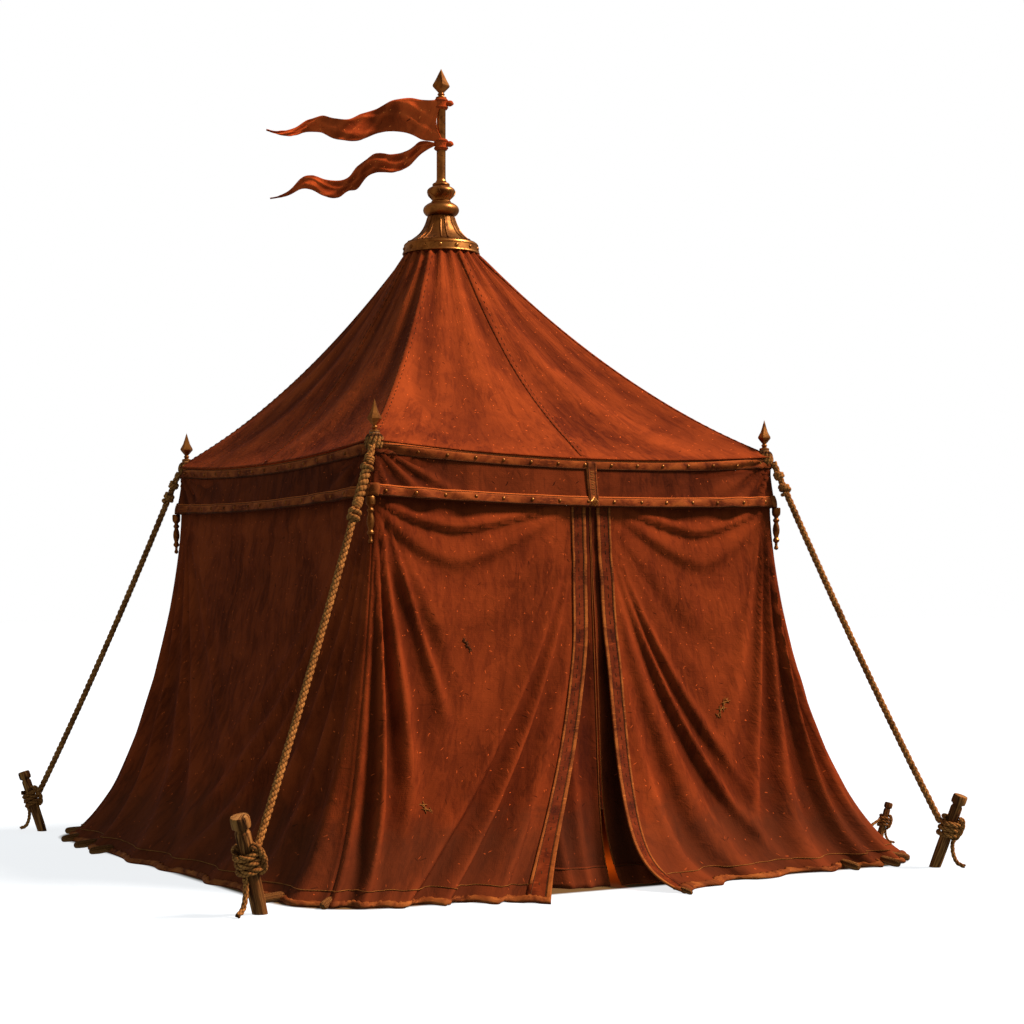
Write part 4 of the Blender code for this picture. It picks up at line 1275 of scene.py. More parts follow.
def turned(name, profile, sides, turn=0.0):
    """A closed turned shape about the Z axis, from a list of radii and heights."""
    bpy.ops.object.select_all(action="DESELECT")
    radius, height = profile[0]
    bpy.ops.mesh.primitive_circle_add(vertices=sides, radius=radius, fill_type="NGON",
                                      location=(0, 0, height), rotation=(0, 0, turn))
    piece = bpy.context.object
    piece.name = name
    piece.data.name = name
    bpy.ops.object.transform_apply(location=True, rotation=True, scale=True)
    bpy.ops.object.mode_set(mode="EDIT")
    bpy.ops.mesh.select_all(action="SELECT")
    for next_radius, next_height in profile[1:]:
        next_radius = max(next_radius, POINT)
        bpy.ops.mesh.extrude_region_move(TRANSFORM_OT_translate={"value": (0, 0, next_height - height)})
        share = next_radius / radius
        bpy.ops.transform.resize(value=(share, share, 1), center_override=(0, 0, next_height))
        radius, height = next_radius, next_height
    bpy.ops.mesh.select_all(action="SELECT")
    bpy.ops.mesh.normals_make_consistent(inside=False)
    bpy.ops.object.mode_set(mode="OBJECT")
    return piece


def gathered(name, parts):
    """One object from several models, each copied to its own placement."""
    bm = bmesh.new()
    for model, place in parts:
        mesh = model.data.copy()
        mesh.transform(place)
        bm.from_mesh(mesh)
        bpy.data.meshes.remove(mesh)
    mesh = bpy.data.meshes.new(name)
    bm.to_mesh(mesh)
    bm.free()
    made = bpy.data.objects.new(name, mesh)
    bpy.context.scene.collection.objects.link(made)
    return made


def small_bar(name, length, width, thickness):
    """A short bar with rounded edges, lying along X on the surface at its origin."""
    bpy.ops.object.select_all(action="DESELECT")
    bpy.ops.mesh.primitive_cube_add(size=1)
    piece = bpy.context.object
    piece.name = name
    bpy.ops.object.mode_set(mode="EDIT")
    bpy.ops.mesh.select_all(action="SELECT")
    bpy.ops.transform.resize(value=(length, width, thickness), center_override=(0, 0, 0))
    bpy.ops.mesh.bevel(offset=thickness * 0.35, segments=1, affect="EDGES")
    bpy.ops.object.mode_set(mode="OBJECT")
    return piece


rivet = turned("rivet", [(0.0125, -0.002), (0.0125, 0.0015), (0.0100, 0.0050), (0.0050, 0.0078)], 10)
stitch = small_bar("stitch", 0.024, 0.0052, 0.0046)
print("rivet faces:", len(rivet.data.polygons), "stitch faces:", len(stitch.data.polygons))

# %% [markdown]
# ## Leather on the valance
#
# The valance has a leather strip along its top and another along its lower edge, with a
# bronze rivet about every hand's length. A strip is a narrow window of the cloth it lies
# on, raised by its own thickness, so it follows every fold. Every trim is made that way.

# %% Strips, threads and small parts on a cloth
STRIP_LIFT = 0.0045
STRIP_THICK = 0.0050
THREAD_LIFT = 0.0055
THREAD = 0.0024
SEAT_STEP = 0.004


def strip(name, cloth, place, size, divisions, facing, material,
          lift=STRIP_LIFT, thick=STRIP_THICK, crown=0.0):
    """A strip sewn on a cloth: its place has to be a window of the cloth's own place."""
    piece = hang_cloth(name, *divisions, lifted(place, lift, crown), size, facing, thick + crown)
    dress(piece, material)
    sewn[cloth].append(piece)
    return piece


def seat(place, u, v, along, lift, size=1.0):
    """Placement of a small part on a cloth, its X axis along a direction (du, dv) of the cloth."""
    normal = surface_normal(place, u, v)
    here = place(u, v)[0]
    ahead = place(u + along[0] * SEAT_STEP, v + along[1] * SEAT_STEP)[0] - here
    return standing(here + normal * lift, normal, size, ahead)


def threads(name, cloth, lines, material, radius=THREAD):
    """Threads laid along lines of points, gathered as one piece of the cloth."""
    bm = bmesh.new()
    for line in lines:
        sweep(bm, line, radius, 5)
    piece = dress(object_from(name, bm), material)
    sewn[cloth].append(piece)
    return piece


def line_on(place, spots, lift=THREAD_LIFT):
    raised = lifted(place, lift)
    return [raised(u, v)[0] for u, v in spots]


def small_parts(name, cloth, model, places, material, slot=None, smooth_angle=40):
    piece = dress(gathered(name, [(model, place) for place in places]), material, slot,
                  smooth_angle=smooth_angle)
    sewn[cloth].append(piece)
    return piece


TRIM_SHARE = 0.225
TRIM_EDGE = 0.030
TRIM_CROWN = 0.0055
RIVET_SMALL = 0.85
RIVETS_A_SIDE = 15
COUNT_ALONG = 120

for side, place in valances.items():
    cloth = "valance_cloth_" + side
    outwards = SIDES[side][0]
    spots = []
    for edge, first, last in (("top", 0.0, TRIM_SHARE), ("low", 1 - TRIM_SHARE, 1.0)):
        strip("trim_%s_%s" % (edge, side), cloth, part_of(place, 0, 1, first, last),
              (VALANCE_SIZE[0], STRAP_WIDE), (COUNT_ALONG, 6), outwards, leather, crown=TRIM_CROWN)
        lines = []
        for v in (first + TRIM_EDGE, last - TRIM_EDGE):
            spots_on_line = [(k / COUNT_ALONG, v) for k in range(COUNT_ALONG + 1)]
            lines.append(line_on(place, spots_on_line, STRIP_LIFT + TRIM_CROWN * 0.4))
        threads("trim_thread_%s_%s" % (edge, side), cloth, lines, dark_thread)
        for k in range(RIVETS_A_SIDE):
            u = (k + 0.5) / RIVETS_A_SIDE
            spots.append(seat(place, u, (first + last) / 2, (1, 0), STRIP_LIFT + TRIM_CROWN, RIVET_SMALL))
    small_parts("valance_rivets_" + side, cloth, rivet, spots, dark_bronze, "bronze")
print("trims with", RIVETS_A_SIDE * 8, "rivets")

# %% [markdown]
# ## Corner pieces, and the seam over the door
#
# Where two strips meet at a post, a square of thicker leather covers the joint. Over the
# door the valance is closed by a doubled strip with a row of cross stitches, and a
# four-sided bronze stud holds its lower end.

# %% Corner leathers and the door seam
CORNER_AFTER = {
    "front_right": ("front", "right"), "back_right": ("right", "back"),
    "back_left": ("back", "left"), "front_left": ("left", "front"),
}
CORNER_SHARE = 0.016
SEAM_AT = 0.516
SEAM_HALF = 0.013
SEAM_LIFT = STRIP_LIFT + TRIM_CROWN + 0.0015


def round_corner(before, after, share_at):
    """A strip that goes from the end of one side round to the start of the next."""
    def place(u, v):
        share = share_at(v)
        if u < 0.5:
            return before(1 - share * (1 - 2 * u), v)
        return after(share * (2 * u - 1), v)
    return place


for corner, (before, after) in CORNER_AFTER.items():
    whole = round_corner(valances[before], valances[after], lambda v: CORNER_SHARE)
    outwards = SIDES[before][0] + SIDES[after][0]
    strip("corner_leather_" + corner, "valance_cloth_" + after,
          part_of(whole, 0, 1, 1 - TRIM_SHARE * 1.06, 1.0), (0.09, 0.08), (16, 6), outwards, gold_leather,
          STRIP_LIFT * 1.6, STRIP_THICK * 1.4, TRIM_CROWN)

front_valance = valances["front"]
strip("door_seam_strip", "valance_cloth_front",
      part_of(front_valance, SEAM_AT - SEAM_HALF, SEAM_AT + SEAM_HALF, TRIM_SHARE * 0.2, 0.98),
      (0.073, 0.30), (4, 18), SIDES["front"][0], hem_leather, SEAM_LIFT, STRIP_THICK * 1.6)
seam_lines = []
for edge in (-0.7, 0.7):
    spots = [(SEAM_AT + SEAM_HALF * edge, 0.06 + 0.90 * k / 20) for k in range(21)]
    seam_lines.append(line_on(front_valance, spots, SEAM_LIFT))
threads("door_seam_threads", "valance_cloth_front", seam_lines, dark_thread)
seam_stitches = [
    seat(front_valance, SEAM_AT, 0.26 + 0.052 * k, (1, 1.6 if k % 2 else -1.6), SEAM_LIFT)
    for k in range(10)
]
small_parts("door_seam_stitches", "valance_cloth_front", stitch, seam_stitches, gold_thread)
stud = turned("stud", [(0.030, -0.002), (0.030, 0.003), (0.021, 0.005), (0.019, 0.009), (0.0, 0.020)], 4)
small_parts("door_seam_stud", "valance_cloth_front", stud,
            [seat(front_valance, SEAM_AT, 1 - TRIM_SHARE / 2, (1, 0), SEAM_LIFT)], bronze, "bronze",
            smooth_angle=20)
put_away(stud)
print("corner leathers:", len(CORNER_AFTER))

# %% [markdown]
# ## Leather on the door flaps
#
# Both flaps are bound with a hand-wide leather band that takes the wear of people coming
# and going. Two pale edgings run along it, the wider one round the door edge, and a row of
# long dark stitches holds the band in between. The band is stiff, so the panel's rule above
# keeps the cloth under it in one plane from edge to edge.

# %% Door bands
BAND_EDGINGS = {"outer": (-0.001, 0.019), "inner": (0.082, 0.095)}
BAND_TOP = 0.055
BAND_LONG = 2.6
BAND_ROWS = 160
BAND_STITCHES = 41
THREAD_STEPS = 180
HEM_LINE = 0.969
flap_edges = {"left": (corner_low, left_flap_edge), "right": (right_flap_edge, corner_high)}


def flap_share(hand, v, distance):
    """Where on a flap's width a place lies that is a distance from the door edge."""
    z = WALL_TOP * (1 - v)
    reach = reach_of(*wall_plan(z))
    first_edge, last_edge = flap_edges[hand]
    share = distance / (last_edge(z, reach) - first_edge(z, reach))
    return 1 - share if hand == "left" else share


def from_edge(hand, near, far):
    """A window of a flap between two distances from its door edge."""
    return lambda u, v: flaps[hand](flap_share(hand, v, near + (far - near) * u), v)


for hand, place in flaps.items():
    cloth = "door_cloth_" + hand
    strip("door_band_" + hand, cloth, part_of(from_edge(hand, 0.0, BAND_WIDE), 0, 1, BAND_TOP, 1.0),
          (BAND_WIDE, BAND_LONG), (6, BAND_ROWS), SIDES["front"][0], band_leather)
    for edging, (near, far) in BAND_EDGINGS.items():
        foot = 1.0 if edging == "outer" else HEM_LINE
        strip("door_edging_%s_%s" % (edging, hand), cloth,
              part_of(from_edge(hand, near, far), 0, 1, BAND_TOP, foot), (far - near, BAND_LONG),
              (3, BAND_ROWS), SIDES["front"][0], gold_leather, STRIP_LIFT * 1.7, STRIP_THICK * 1.5)
    lines = []
    for distance in (0.022, 0.079):
        downs = [BAND_TOP + 0.002 + (0.995 - BAND_TOP) * k / THREAD_STEPS for k in range(THREAD_STEPS + 1)]
        lines.append(line_on(place, [(flap_share(hand, v, distance), v) for v in downs], STRIP_LIFT))
    threads("door_threads_" + hand, cloth, lines, dark_thread)
    places = []
    for k in range(BAND_STITCHES):
        v = 0.11 + 0.88 * k / BAND_STITCHES
        places.append(seat(place, flap_share(hand, v, 0.052), v, (0, 1), STRIP_LIFT))
    small_parts("door_stitches_" + hand, cloth, stitch, places, dark_thread)
print("door bands: 2, with", BAND_STITCHES, "stitches each")

# %% [markdown]
# ## Hems
#
# The foot of every wall is bound with a thin strip of leather that the ground has worn
# ragged, and a gold line of stitching runs along a little above it. The curtains have a
# plain doubled hem, and a cord is sewn into the edges that meet at the slit.

# %% Hem bindings and hem lines
HEM_BAND = 0.0110
HEM_CROWN = 0.008
CURTAIN_HEM = 0.957
hem_places = {"wall_cloth_" + side: (walls[side], SIDES[side][0], PANEL_SIZE[0]) for side in walls}
for hand in flaps:
    hem_places["door_cloth_" + hand] = (flaps[hand], SIDES["front"][0], FLAP_SIZE[0])


def ragged(place, seed):
    """A strip whose upper edge wanders, as worn leather does."""
    def worn(u, v):
        wander = 0.0035 * noise.noise((u * 60.0, seed, 0.0)) + 0.0030 * noise.noise((u * 190.0, seed, 4.0))
        return place(u, 1 - (HEM_BAND + wander) * (1 - v))
    return worn


for number, (cloth, (place, outwards, width)) in enumerate(hem_places.items()):
    columns = int(width * 90)
    strip("hem_binding_" + cloth, cloth, ragged(place, 3.0 * number), (width, 0.045), (columns, 5), outwards,
          hem_leather, crown=HEM_CROWN)
    first = 0.0
    last = 1.0
    if cloth == "door_cloth_left":
        last = flap_share("left", HEM_LINE, BAND_WIDE)
    if cloth == "door_cloth_right":
        first = flap_share("right", HEM_LINE, BAND_WIDE)
    spots = [(first + (last - first) * k / columns, HEM_LINE) for k in range(columns + 1)]
    threads("hem_line_" + cloth, cloth, [line_on(place, spots, 0.0030)], gold_thread)
for hand, place in curtains.items():
    cloth = "curtain_cloth_" + hand
    strip("curtain_hem_" + hand, cloth, part_of(place, 0, 1, CURTAIN_HEM, 0.999), (1.05, 0.10), (56, 5),
          SIDES["front"][0], canvas)
    spots = [(k / 60, CURTAIN_HEM + 0.004) for k in range(61)]
    threads("curtain_hem_line_" + hand, cloth, [line_on(place, spots)], dark_thread)
    edge = [(0.004, 0.05 + 0.945 * k / 90) for k in range(91)]
    threads("curtain_edge_" + hand, cloth, [line_on(place, edge, 0.001)], gold_leather, 0.0035)
print("hems:", len(hem_places) + len(curtains))

# %% [markdown]
# ## Seams of the roof
#
# Each gore is sewn from two widths of canvas, and the gores are sewn together along the
# hips. A sailmaker's seam is a doubled strip with a row of stitches along both edges.

# %% Roof seams
ROOF_SEAM_HALF = 0.019
ROOF_STITCHES = 40


def gore_width(t):
    return ROOF_TOP_RADIUS * math.pi / 2 * (1 - t) + 2 * reach_of(ROOF_HALF, ROOF_CORNER) * t


def mid_seam(place, half):
    return lambda u, t: place(0.5 + half * (2 * u - 1) / gore_width(t), t)


def hip_share(t):
    return ROOF_SEAM_HALF / gore_width(t)


seams = {}
for side, place in gores.items():
    seams["mid_" + side] = (mid_seam(place, ROOF_SEAM_HALF), side, SIDES[side][0])
for corner, (before, after) in CORNER_AFTER.items():
    outwards = SIDES[before][0] + SIDES[after][0]
    seams["hip_" + corner] = (round_corner(gores[before], gores[after], hip_share), after, outwards)
for name, (place, side, outwards) in seams.items():
    cloth = "roof_cloth_" + side
    strip("roof_seam_" + name, cloth, part_of(place, 0, 1, 0.012, 0.985), (0.04, 2.1), (4, 84),
          outwards + Vector((0, 0, 1)), painted_light_roof_canvas, 0.0028, 0.0034)
    places = []
    for k in range(ROOF_STITCHES):
        t = 0.03 + 0.94 * k / ROOF_STITCHES
        for u in (0.12, 0.88):
            places.append(seat(place, u, t, (0, 1), 0.0034, 0.85))
    small_parts("roof_stitches_" + name, cloth, stitch, places, dark_thread)
print("roof seams:", len(seams), "with", 2 * ROOF_STITCHES, "stitches each")

# %% [markdown]
# ## Mends
#
# Tears in the cloth are closed with a few long crossed stitches. Each mend is put where it
# shows from the front: a ray from the eye through a point of the picture finds the cloth.

# %% Mends
MENDS = [
    ("door_cloth_left", 425, 808, 0.080, -40),
    ("door_cloth_right", 722, 708, 0.080, 50),
    ("door_cloth_left", 467, 645, 0.050, -60),
]
MEND_BARS = (
    (-0.95, 0.1, 0.2), (-0.45, 1.35, 0.9), (-0.1, -1.0, 0.8),
    (0.3, 1.8, 1.0), (0.75, -1.4, 0.7), (0.95, 0.2, 0.3),
)


def pixel_ray(column, row):
    """The direction from the eye through a point of the picture."""
    ahead = VIEW_RIGHT * (column - MIDDLE_COLUMN) + Vector((0, 0, HORIZON_ROW - row)) - VIEW_BACK * FOCAL
    return ahead.normalized()


for number, (cloth, column, row, half, lean) in enumerate(MENDS):
    hit, spot, normal, _ = cloths[cloth]["obj"].ray_cast(eye, pixel_ray(column, row))
    if not hit:
        print("mend", number, "misses its cloth")
        continue
    slit = Vector((0, 0, 1)).cross(normal).normalized()
    slit.rotate(Matrix.Rotation(math.radians(lean), 3, normal))
    across = normal.cross(slit)
    bm = bmesh.new()
    sweep(bm, [spot + slit * half * (k / 6 - 1) + normal * 0.002 for k in range(13)],
          [0.0012 + 0.0030 * math.sin(math.pi * (k + 0.5) / 13) for k in range(13)], 6)
    for at, slant, reach in MEND_BARS:
        middle = spot + slit * half * at * 0.8
        arm = (across + slit * slant).normalized() * half * (0.18 + 0.34 * reach)
        sweep(bm, [middle + arm * (k / 4 - 1) + normal * 0.004 for k in range(9)],
              [0.0010 + 0.0026 * math.sin(math.pi * (k + 0.5) / 9) for k in range(9)], 6)
    piece = dress(object_from("mend_%d" % number, bm), dark_thread if number == 2 else gold_thread)
    sewn[cloth].append(piece)
print("mends:", len(MENDS))

# %% [markdown]
# ## Hem stakes
#
# The hem is held out by short wooden stakes pushed under it, which show only at the ends
# of the folds. Each lies almost flat on the ground and points away from the tent.

# %% Hem stakes
STAKE_DIP = math.radians(6.0)
STAKE_RADIUS = 0.024
CORNER_HEM = WALL_HALF + HEM_SPREAD - HEM_CORNER - WALL_CORNER + (HEM_CORNER + WALL_CORNER) * math.sqrt(0.5)
stakes_along = {
    "left": (-1.511, -1.149, -0.803, 1.606),
    "front": (1.405, 1.714),
    "right": (-0.60, 0.25, 1.10, 1.55),
    "back": (-1.55, -0.95, 0.10, 0.85, 1.50),
}
stake = turned("stake", eased([
    (0.012, -0.060), (0.021, -0.050), (STAKE_RADIUS, 0.0),
    (STAKE_RADIUS, 0.060), (0.021, 0.084), (0.011, 0.096),
], 10), 10)


def lying(point, direction, size=1.0):
    """Placement of a stake on the ground, its length along a direction that dips a little."""
    ahead = direction.normalized() * math.cos(STAKE_DIP) - Vector((0, 0, math.sin(STAKE_DIP)))
    return standing(point + Vector((0, 0, STAKE_RADIUS * size + 0.003)), ahead, size, Vector((0, 0, 1)))


places = []
for side, spots in stakes_along.items():
    for along in spots:
        hem = WALL_HALF + HEM_SPREAD
        if side == "left":
            hem += left_bulge(0.5 + along / (2 * reach_of(*wall_plan(0.0))), 1.0)
        places.append(lying(on_side(side, along, hem, 0.0), SIDES[side][0]))
for signs, _, _ in CORNERS.values():
    outward = Vector((signs[0], signs[1], 0)).normalized()
    places.append(lying(CENTRE + Vector((signs[0], signs[1], 0)) * CORNER_HEM - outward * 0.035, outward))
tip_out = WALL_HALF + HEM_SPREAD + FLAP_BULGE + RIGHT_TIP_OUT
places.append(lying(on_side("front", right_flap_edge(0.0), tip_out, 0.0), SIDES["front"][0], 0.6))
dress(gathered("hem_stakes", [(stake, place) for place in places]), peg_wood, "wood", smooth_angle=40)
put_away(stake)
print("hem stakes:", len(places))

# %% [markdown]
# ## Guy ropes
#
# At each post the rope is wound up and down round the head of the post, which makes a ribbed
# ball. Below the near post's ball the rope is doubled and looped through itself like a chain
# for a hand or two. A whipping holds the chain's top, and a fat bead and two hitches close
# its foot. The other ropes have a whipping and a knot there instead. From there on each is
# plain three-strand rope down to the peg, where it takes three turns.

# %% Helpers for knots
ROUTE_STEP = 0.006


def winding(centre, axis, side, radius, turns, rise, start=0.0, steps=16):
    """The line of a cord that winds round an axis, from half a rise below to half above."""
    other = axis.cross(side)
    count = int(turns * steps)
    line = []
    for n in range(count + 1):
        ring = spoke(side, other, start + math.tau * n / steps) * radius
        line.append(centre + axis * rise * (n / count - 0.5) + ring)
    return line


def around(angle, radius, height):
    return Vector((math.cos(angle) * radius, math.sin(angle) * radius, height))


def stretch_of(route, start, end):
    """The part of a route between two distances along it."""
    points = evenly(route, ROUTE_STEP)
    return points[int(start / ROUTE_STEP):int(end / ROUTE_STEP) + 1]


def direction_at(route, distance):
    points = evenly(route, ROUTE_STEP)
    n = min(int(distance / ROUTE_STEP), len(points) - 2)
    return points[n], (points[n + 1] - points[n]).normalized()


LASHING_MIDDLE = 2.4475
LASHING_WAIST = 0.0240
LASHING_BELLY = 0.0205
LASHING_TALL = 0.0430
LASHING_CORD = 0.0130
LASHING_COILS = 12
LASHING_SLANT = 0.34


def lashing(bm, post):
    """The coils of cord over a post's head, each bowed out and slanted, and a turn at each end."""
    steps = 14
    reach = LASHING_WAIST + LASHING_BELLY + LASHING_CORD
    for k in range(LASHING_COILS):
        line, core, radii = [], [], []
        for n in range(steps + 1):
            climb = math.radians(75) * (2 * n / steps - 1)
            turn = math.tau * k / LASHING_COILS + LASHING_SLANT * math.sin(climb)
            height = LASHING_MIDDLE + LASHING_TALL * math.sin(climb)
            line.append(post + around(turn, LASHING_WAIST + LASHING_BELLY * math.cos(climb), height))
            core.append(post + Vector((0, 0, height)))
            radii.append(LASHING_CORD * (0.62 + 0.38 * math.cos(climb)))
        sweep(bm, line, radii, 9, core, reach * 0.58, reach)
    for sign in (-1, 1):
        centre = post + Vector((0, 0, LASHING_MIDDLE + sign * (LASHING_TALL + 0.004)))
        ring = winding(centre, Vector((0, 0, 1)), VIEW_RIGHT, LASHING_WAIST, 1.1, 0.004, 2.0, 20)
        sweep(bm, ring, LASHING_CORD * 0.74, 8)


# %% [markdown]
# ## The four guy ropes
#
# Every rope has one route, from inside its lashing over a short bend and down in a slight
# sag to its peg. The near rope is chained for the first part of that route and plain for
# the rest, and the others are plain from end to end. On the peg the rope takes three
# turns, and a doubled end comes down beside them.

# %% Guy ropes
ROPE_RADIUS = 0.0205
ROPE_PITCH = 0.112
ROPE_SAG = 0.045
ROPE_START = (0.057, 2.428)
ROPE_BEND = (0.079, 2.372)
ROPE_AT_PEG = 0.056
CHAIN = (0.135, 0.375)
CHAIN_RADIUS = 0.027
CHAIN_PITCH = 0.074
BEAD = (0.318, 0.400)
CHAIN_KNOTS = [
    (0.090, 0.0205, 0.0095, 3.0, 0.046), (0.140, 0.0265, 0.0125, 1.2, 0.014),
    (0.416, 0.0250, 0.0135, 1.25, 0.012), (0.450, 0.0250, 0.0135, 1.25, 0.012),
]
PLAIN_KNOTS = [
    (0.090, 0.0230, 0.0110, 2.2, 0.034), (0.178, 0.0235, 0.0130, 2.0, 0.034),
    (0.200, 0.0270, 0.0120, 1.2, -0.040),
]
TURN_RADIUS = 0.0500
TURN_CORD = 0.0165
TURN_STEP = 0.0335
TURN_START = 2.6
TURNS = 3.2


def guy_route(signs, place, axis, scale):
    """The rope's own line, from inside its lashing to the turns on the peg."""
    post = post_axis(signs)
    outward = Vector((signs[0], signs[1], 0)).normalized()
    knot = place.translation + axis * PEG_TURNS_AT * scale
    start = post + outward * ROPE_START[0] + Vector((0, 0, ROPE_START[1]))
    bend = post + outward * ROPE_BEND[0] + Vector((0, 0, ROPE_BEND[1]))
    back = (bend - knot).normalized()
    away = (back - axis * back.dot(axis)).normalized()
    end = knot + away * ROPE_AT_PEG * scale
    run = []
    for k in range(1, 7):
        t = k / 6
        point = bend.lerp(end, t)
        point.z -= ROPE_SAG * 4 * t * (1 - t)
        run.append(point)
    return smooth_route([start, bend] + run, 90)


def turns_on_peg(bm, place, axis, scale):
    """Three turns of rope round a peg, and the bight that comes down beside them."""
    knot = place.translation + axis * PEG_TURNS_AT * scale
    side = VIEW_RIGHT - axis * VIEW_RIGHT.dot(axis)
    side.normalize()
    cord = TURN_CORD * scale
    coil = winding(knot, axis, side, TURN_RADIUS * scale, TURNS, TURN_STEP * TURNS * scale, TURN_START, 32)
    rope_along(bm, coil, cord, cord * 6.6, 7)
    bight = []
    for n in range(21):
        angle = math.radians(110) * (1 - n / 10)
        bight.append(knot + axis * math.sin(angle) * 0.066 * scale
                     + side * (TURN_RADIUS - 0.010 + 0.028 * math.cos(angle)) * scale
                     - axis.cross(side) * (0.018 + 0.012 * math.sin(angle)) * scale)
    rope_along(bm, bight, cord, cord * 6.6, 7)


for name, (signs, _, scale) in CORNERS.items():
    place, axis, _, _ = pegs[name]
    route = guy_route(signs, place, axis, scale)
    bm = bmesh.new()
    lashing(bm, post_axis(signs))
    chained = name == "front_left"
    knots = CHAIN_KNOTS if chained else PLAIN_KNOTS
    if chained:
        rope_along(bm, stretch_of(route, 0.0, CHAIN[0]), ROPE_RADIUS, ROPE_PITCH)
        rope_along(bm, stretch_of(route, *CHAIN), CHAIN_RADIUS, CHAIN_PITCH, 9, 2)
        bead = stretch_of(route, *BEAD)
        swell = [math.sin(math.pi * (n + 0.5) / len(bead)) ** 0.7 for n in range(len(bead))]
        sweep(bm, bead, [0.013 + 0.016 * share for share in swell], 10)
    rope_along(bm, stretch_of(route, BEAD[1] if chained else 0.0, length_of(route)), ROPE_RADIUS, ROPE_PITCH)
    for distance, radius, cord, turns, rise in knots:
        centre, ahead = direction_at(route, distance)
        side = ahead.orthogonal().normalized()
        sweep(bm, winding(centre, ahead, side, radius, turns, rise), cord, 9)
    turns_on_peg(bm, place, axis, scale)
    piece = dress(object_from("guy_rope_laid_" + name, bm), rope, "rope", ["guy_rope_" + name])
    print(piece.name, "%.2f m long" % length_of(route), len(piece.data.polygons), "faces")

# %% [markdown]
# ## Pegs
#
# The pegs are split wood, dressed by hand: a long shaft with eleven faces, a groove
# under the head and a chamfer round the top, where the mallet has mushroomed and bleached
# it. Each is cut off level with the ground.

# %% Pegs
PEG_PROFILE = [
    (0.033, -0.030), (0.0345, 0.050), (0.0350, 0.150), (0.0340, 0.240), (0.0345, 0.320), (0.0350, 0.386),
    (0.0290, 0.392), (0.0290, 0.401), (0.0425, 0.408), (0.0440, 0.424), (0.0436, 0.450), (0.0400, 0.459),
]
PEG_SIDES = 11


def grain_map(piece, radius):
    """A UV map in metres: along the Z axis first, then round it."""
    layer = piece.data.uv_layers.active or piece.data.uv_layers.new(name="UVMap")
    for face in piece.data.polygons:
        centre = math.atan2(face.center.y, face.center.x)
        for index in face.loop_indices:
            point = piece.data.vertices[piece.data.loops[index].vertex_index].co
            angle = math.atan2(point.y, point.x)
            angle += math.tau * round((centre - angle) / math.tau)
            layer.data[index].uv = (point.z, angle * radius)


def hand_cut(piece, depth, seed):
    """Move a turned shape's points a little, so that no face is quite like the next."""
    for vertex in piece.data.vertices:
        shift = noise.noise_vector((vertex.co.x * 30 + seed, vertex.co.y * 30, vertex.co.z * 9))
        vertex.co += Vector((shift.x, shift.y, shift.z * 0.5)) * depth


for number, (name, (place, axis, _, scale)) in enumerate(pegs.items()):
    piece = turned("peg_cut_" + name, PEG_PROFILE, PEG_SIDES, 0.2 * number)
    grain_map(piece, 0.034)
    hand_cut(piece, 0.0026, number * 5.0)
    edges = piece.modifiers.new("edges", "BEVEL")
    edges.width = 0.0022
    edges.segments = 2
    edges.angle_limit = math.radians(25)
    bpy.ops.object.modifier_apply(modifier=edges.name)
    piece.data.transform(place @ Matrix.Scale(scale, 4))
    bpy.ops.object.mode_set(mode="EDIT")
    bpy.ops.mesh.select_all(action="SELECT")
    bpy.ops.mesh.bisect(plane_co=(0, 0, 0.0005), plane_no=(0, 0, 1), use_fill=True, clear_inner=True)
    bpy.ops.object.mode_set(mode="OBJECT")
    dress(piece, peg_wood, "wood", ["peg_" + name], smooth_angle=28)
    piece.data.materials.append(cut_wood)
    crown = place @ Vector((0, 0, 0.459 * scale))
    for face in piece.data.polygons:
        if (face.center - crown).length < 0.03 * scale and face.normal.dot(axis) > 0.9:
            face.material_index = 1
print("pegs:", len(pegs))

# %% [markdown]
# ## The small peg's line
#
# A thin line ties the right wall's hem to the small peg, with the same three turns.

# %% Side line
LINE_RADIUS = 0.010
HEM_FACE = 0.060
place, axis, _, scale = pegs["side"]
knot = place.translation + axis * PEG_TURNS_AT * scale
upper = WALL_HALF + HEM_SPREAD * flare(HEM_FACE)
lower = WALL_HALF + HEM_SPREAD
slope = Vector((HEM_FACE, 0, lower - upper)).normalized()
hem_point = Vector((CENTRE.x + (upper + lower) / 2, SIDE_PEG_FOOT[1], HEM_FACE / 2)) + slope * SKIN * 1.5
run = hem_point - knot
away = (run - axis * run.dot(axis)).normalized()
start = knot + away * 0.037
middle = start.lerp(hem_point, 0.5) - Vector((0, 0, 0.006))
bm = bmesh.new()
rope_along(bm, smooth_route([start, middle, hem_point], 24), LINE_RADIUS, LINE_RADIUS * 5.2, 6)
turns_on_peg(bm, place, axis, scale)
dress(object_from("side_line_laid", bm), rope, "rope", ["side_line"])
print("side line: %.2f m" % length_of([start, middle, hem_point]))

# %% [markdown]
# ## Bronze of the crown
#
# The crown clamps the roof to the mast: a riveted band, a ribbed skirt like an upturned
# flower, a round ring, and a baluster cut with leaves that point down. A bronze tube goes
# on up to the spear point. Each is turned, and ribs and leaves are laid on as raised lines.

# %% Crown of the mast
BAND_FOOT = 3.7903
SKIRT_FOOT = 3.8623
RING_FOOT = 4.0383
BALUSTER_FOOT = 4.1283
TUBE_FOOT = 4.2573
TIP_FOOT = 4.7953
BAND_RIVETS = 14
RIBS = 8
LEAVES = 7


def raised_to(height):
    return Matrix.Translation((0, 0, height))


def value_at(pairs, place):
    """The value at a place, such as the radius of a profile at a height, from (value, place) pairs."""
    for (r0, z0), (r1, z1) in zip(pairs, pairs[1:]):
        if z0 <= place <= z1 and z1 > z0:
            return r0 + (r1 - r0) * (place - z0) / (z1 - z0)
    return pairs[-1][0]


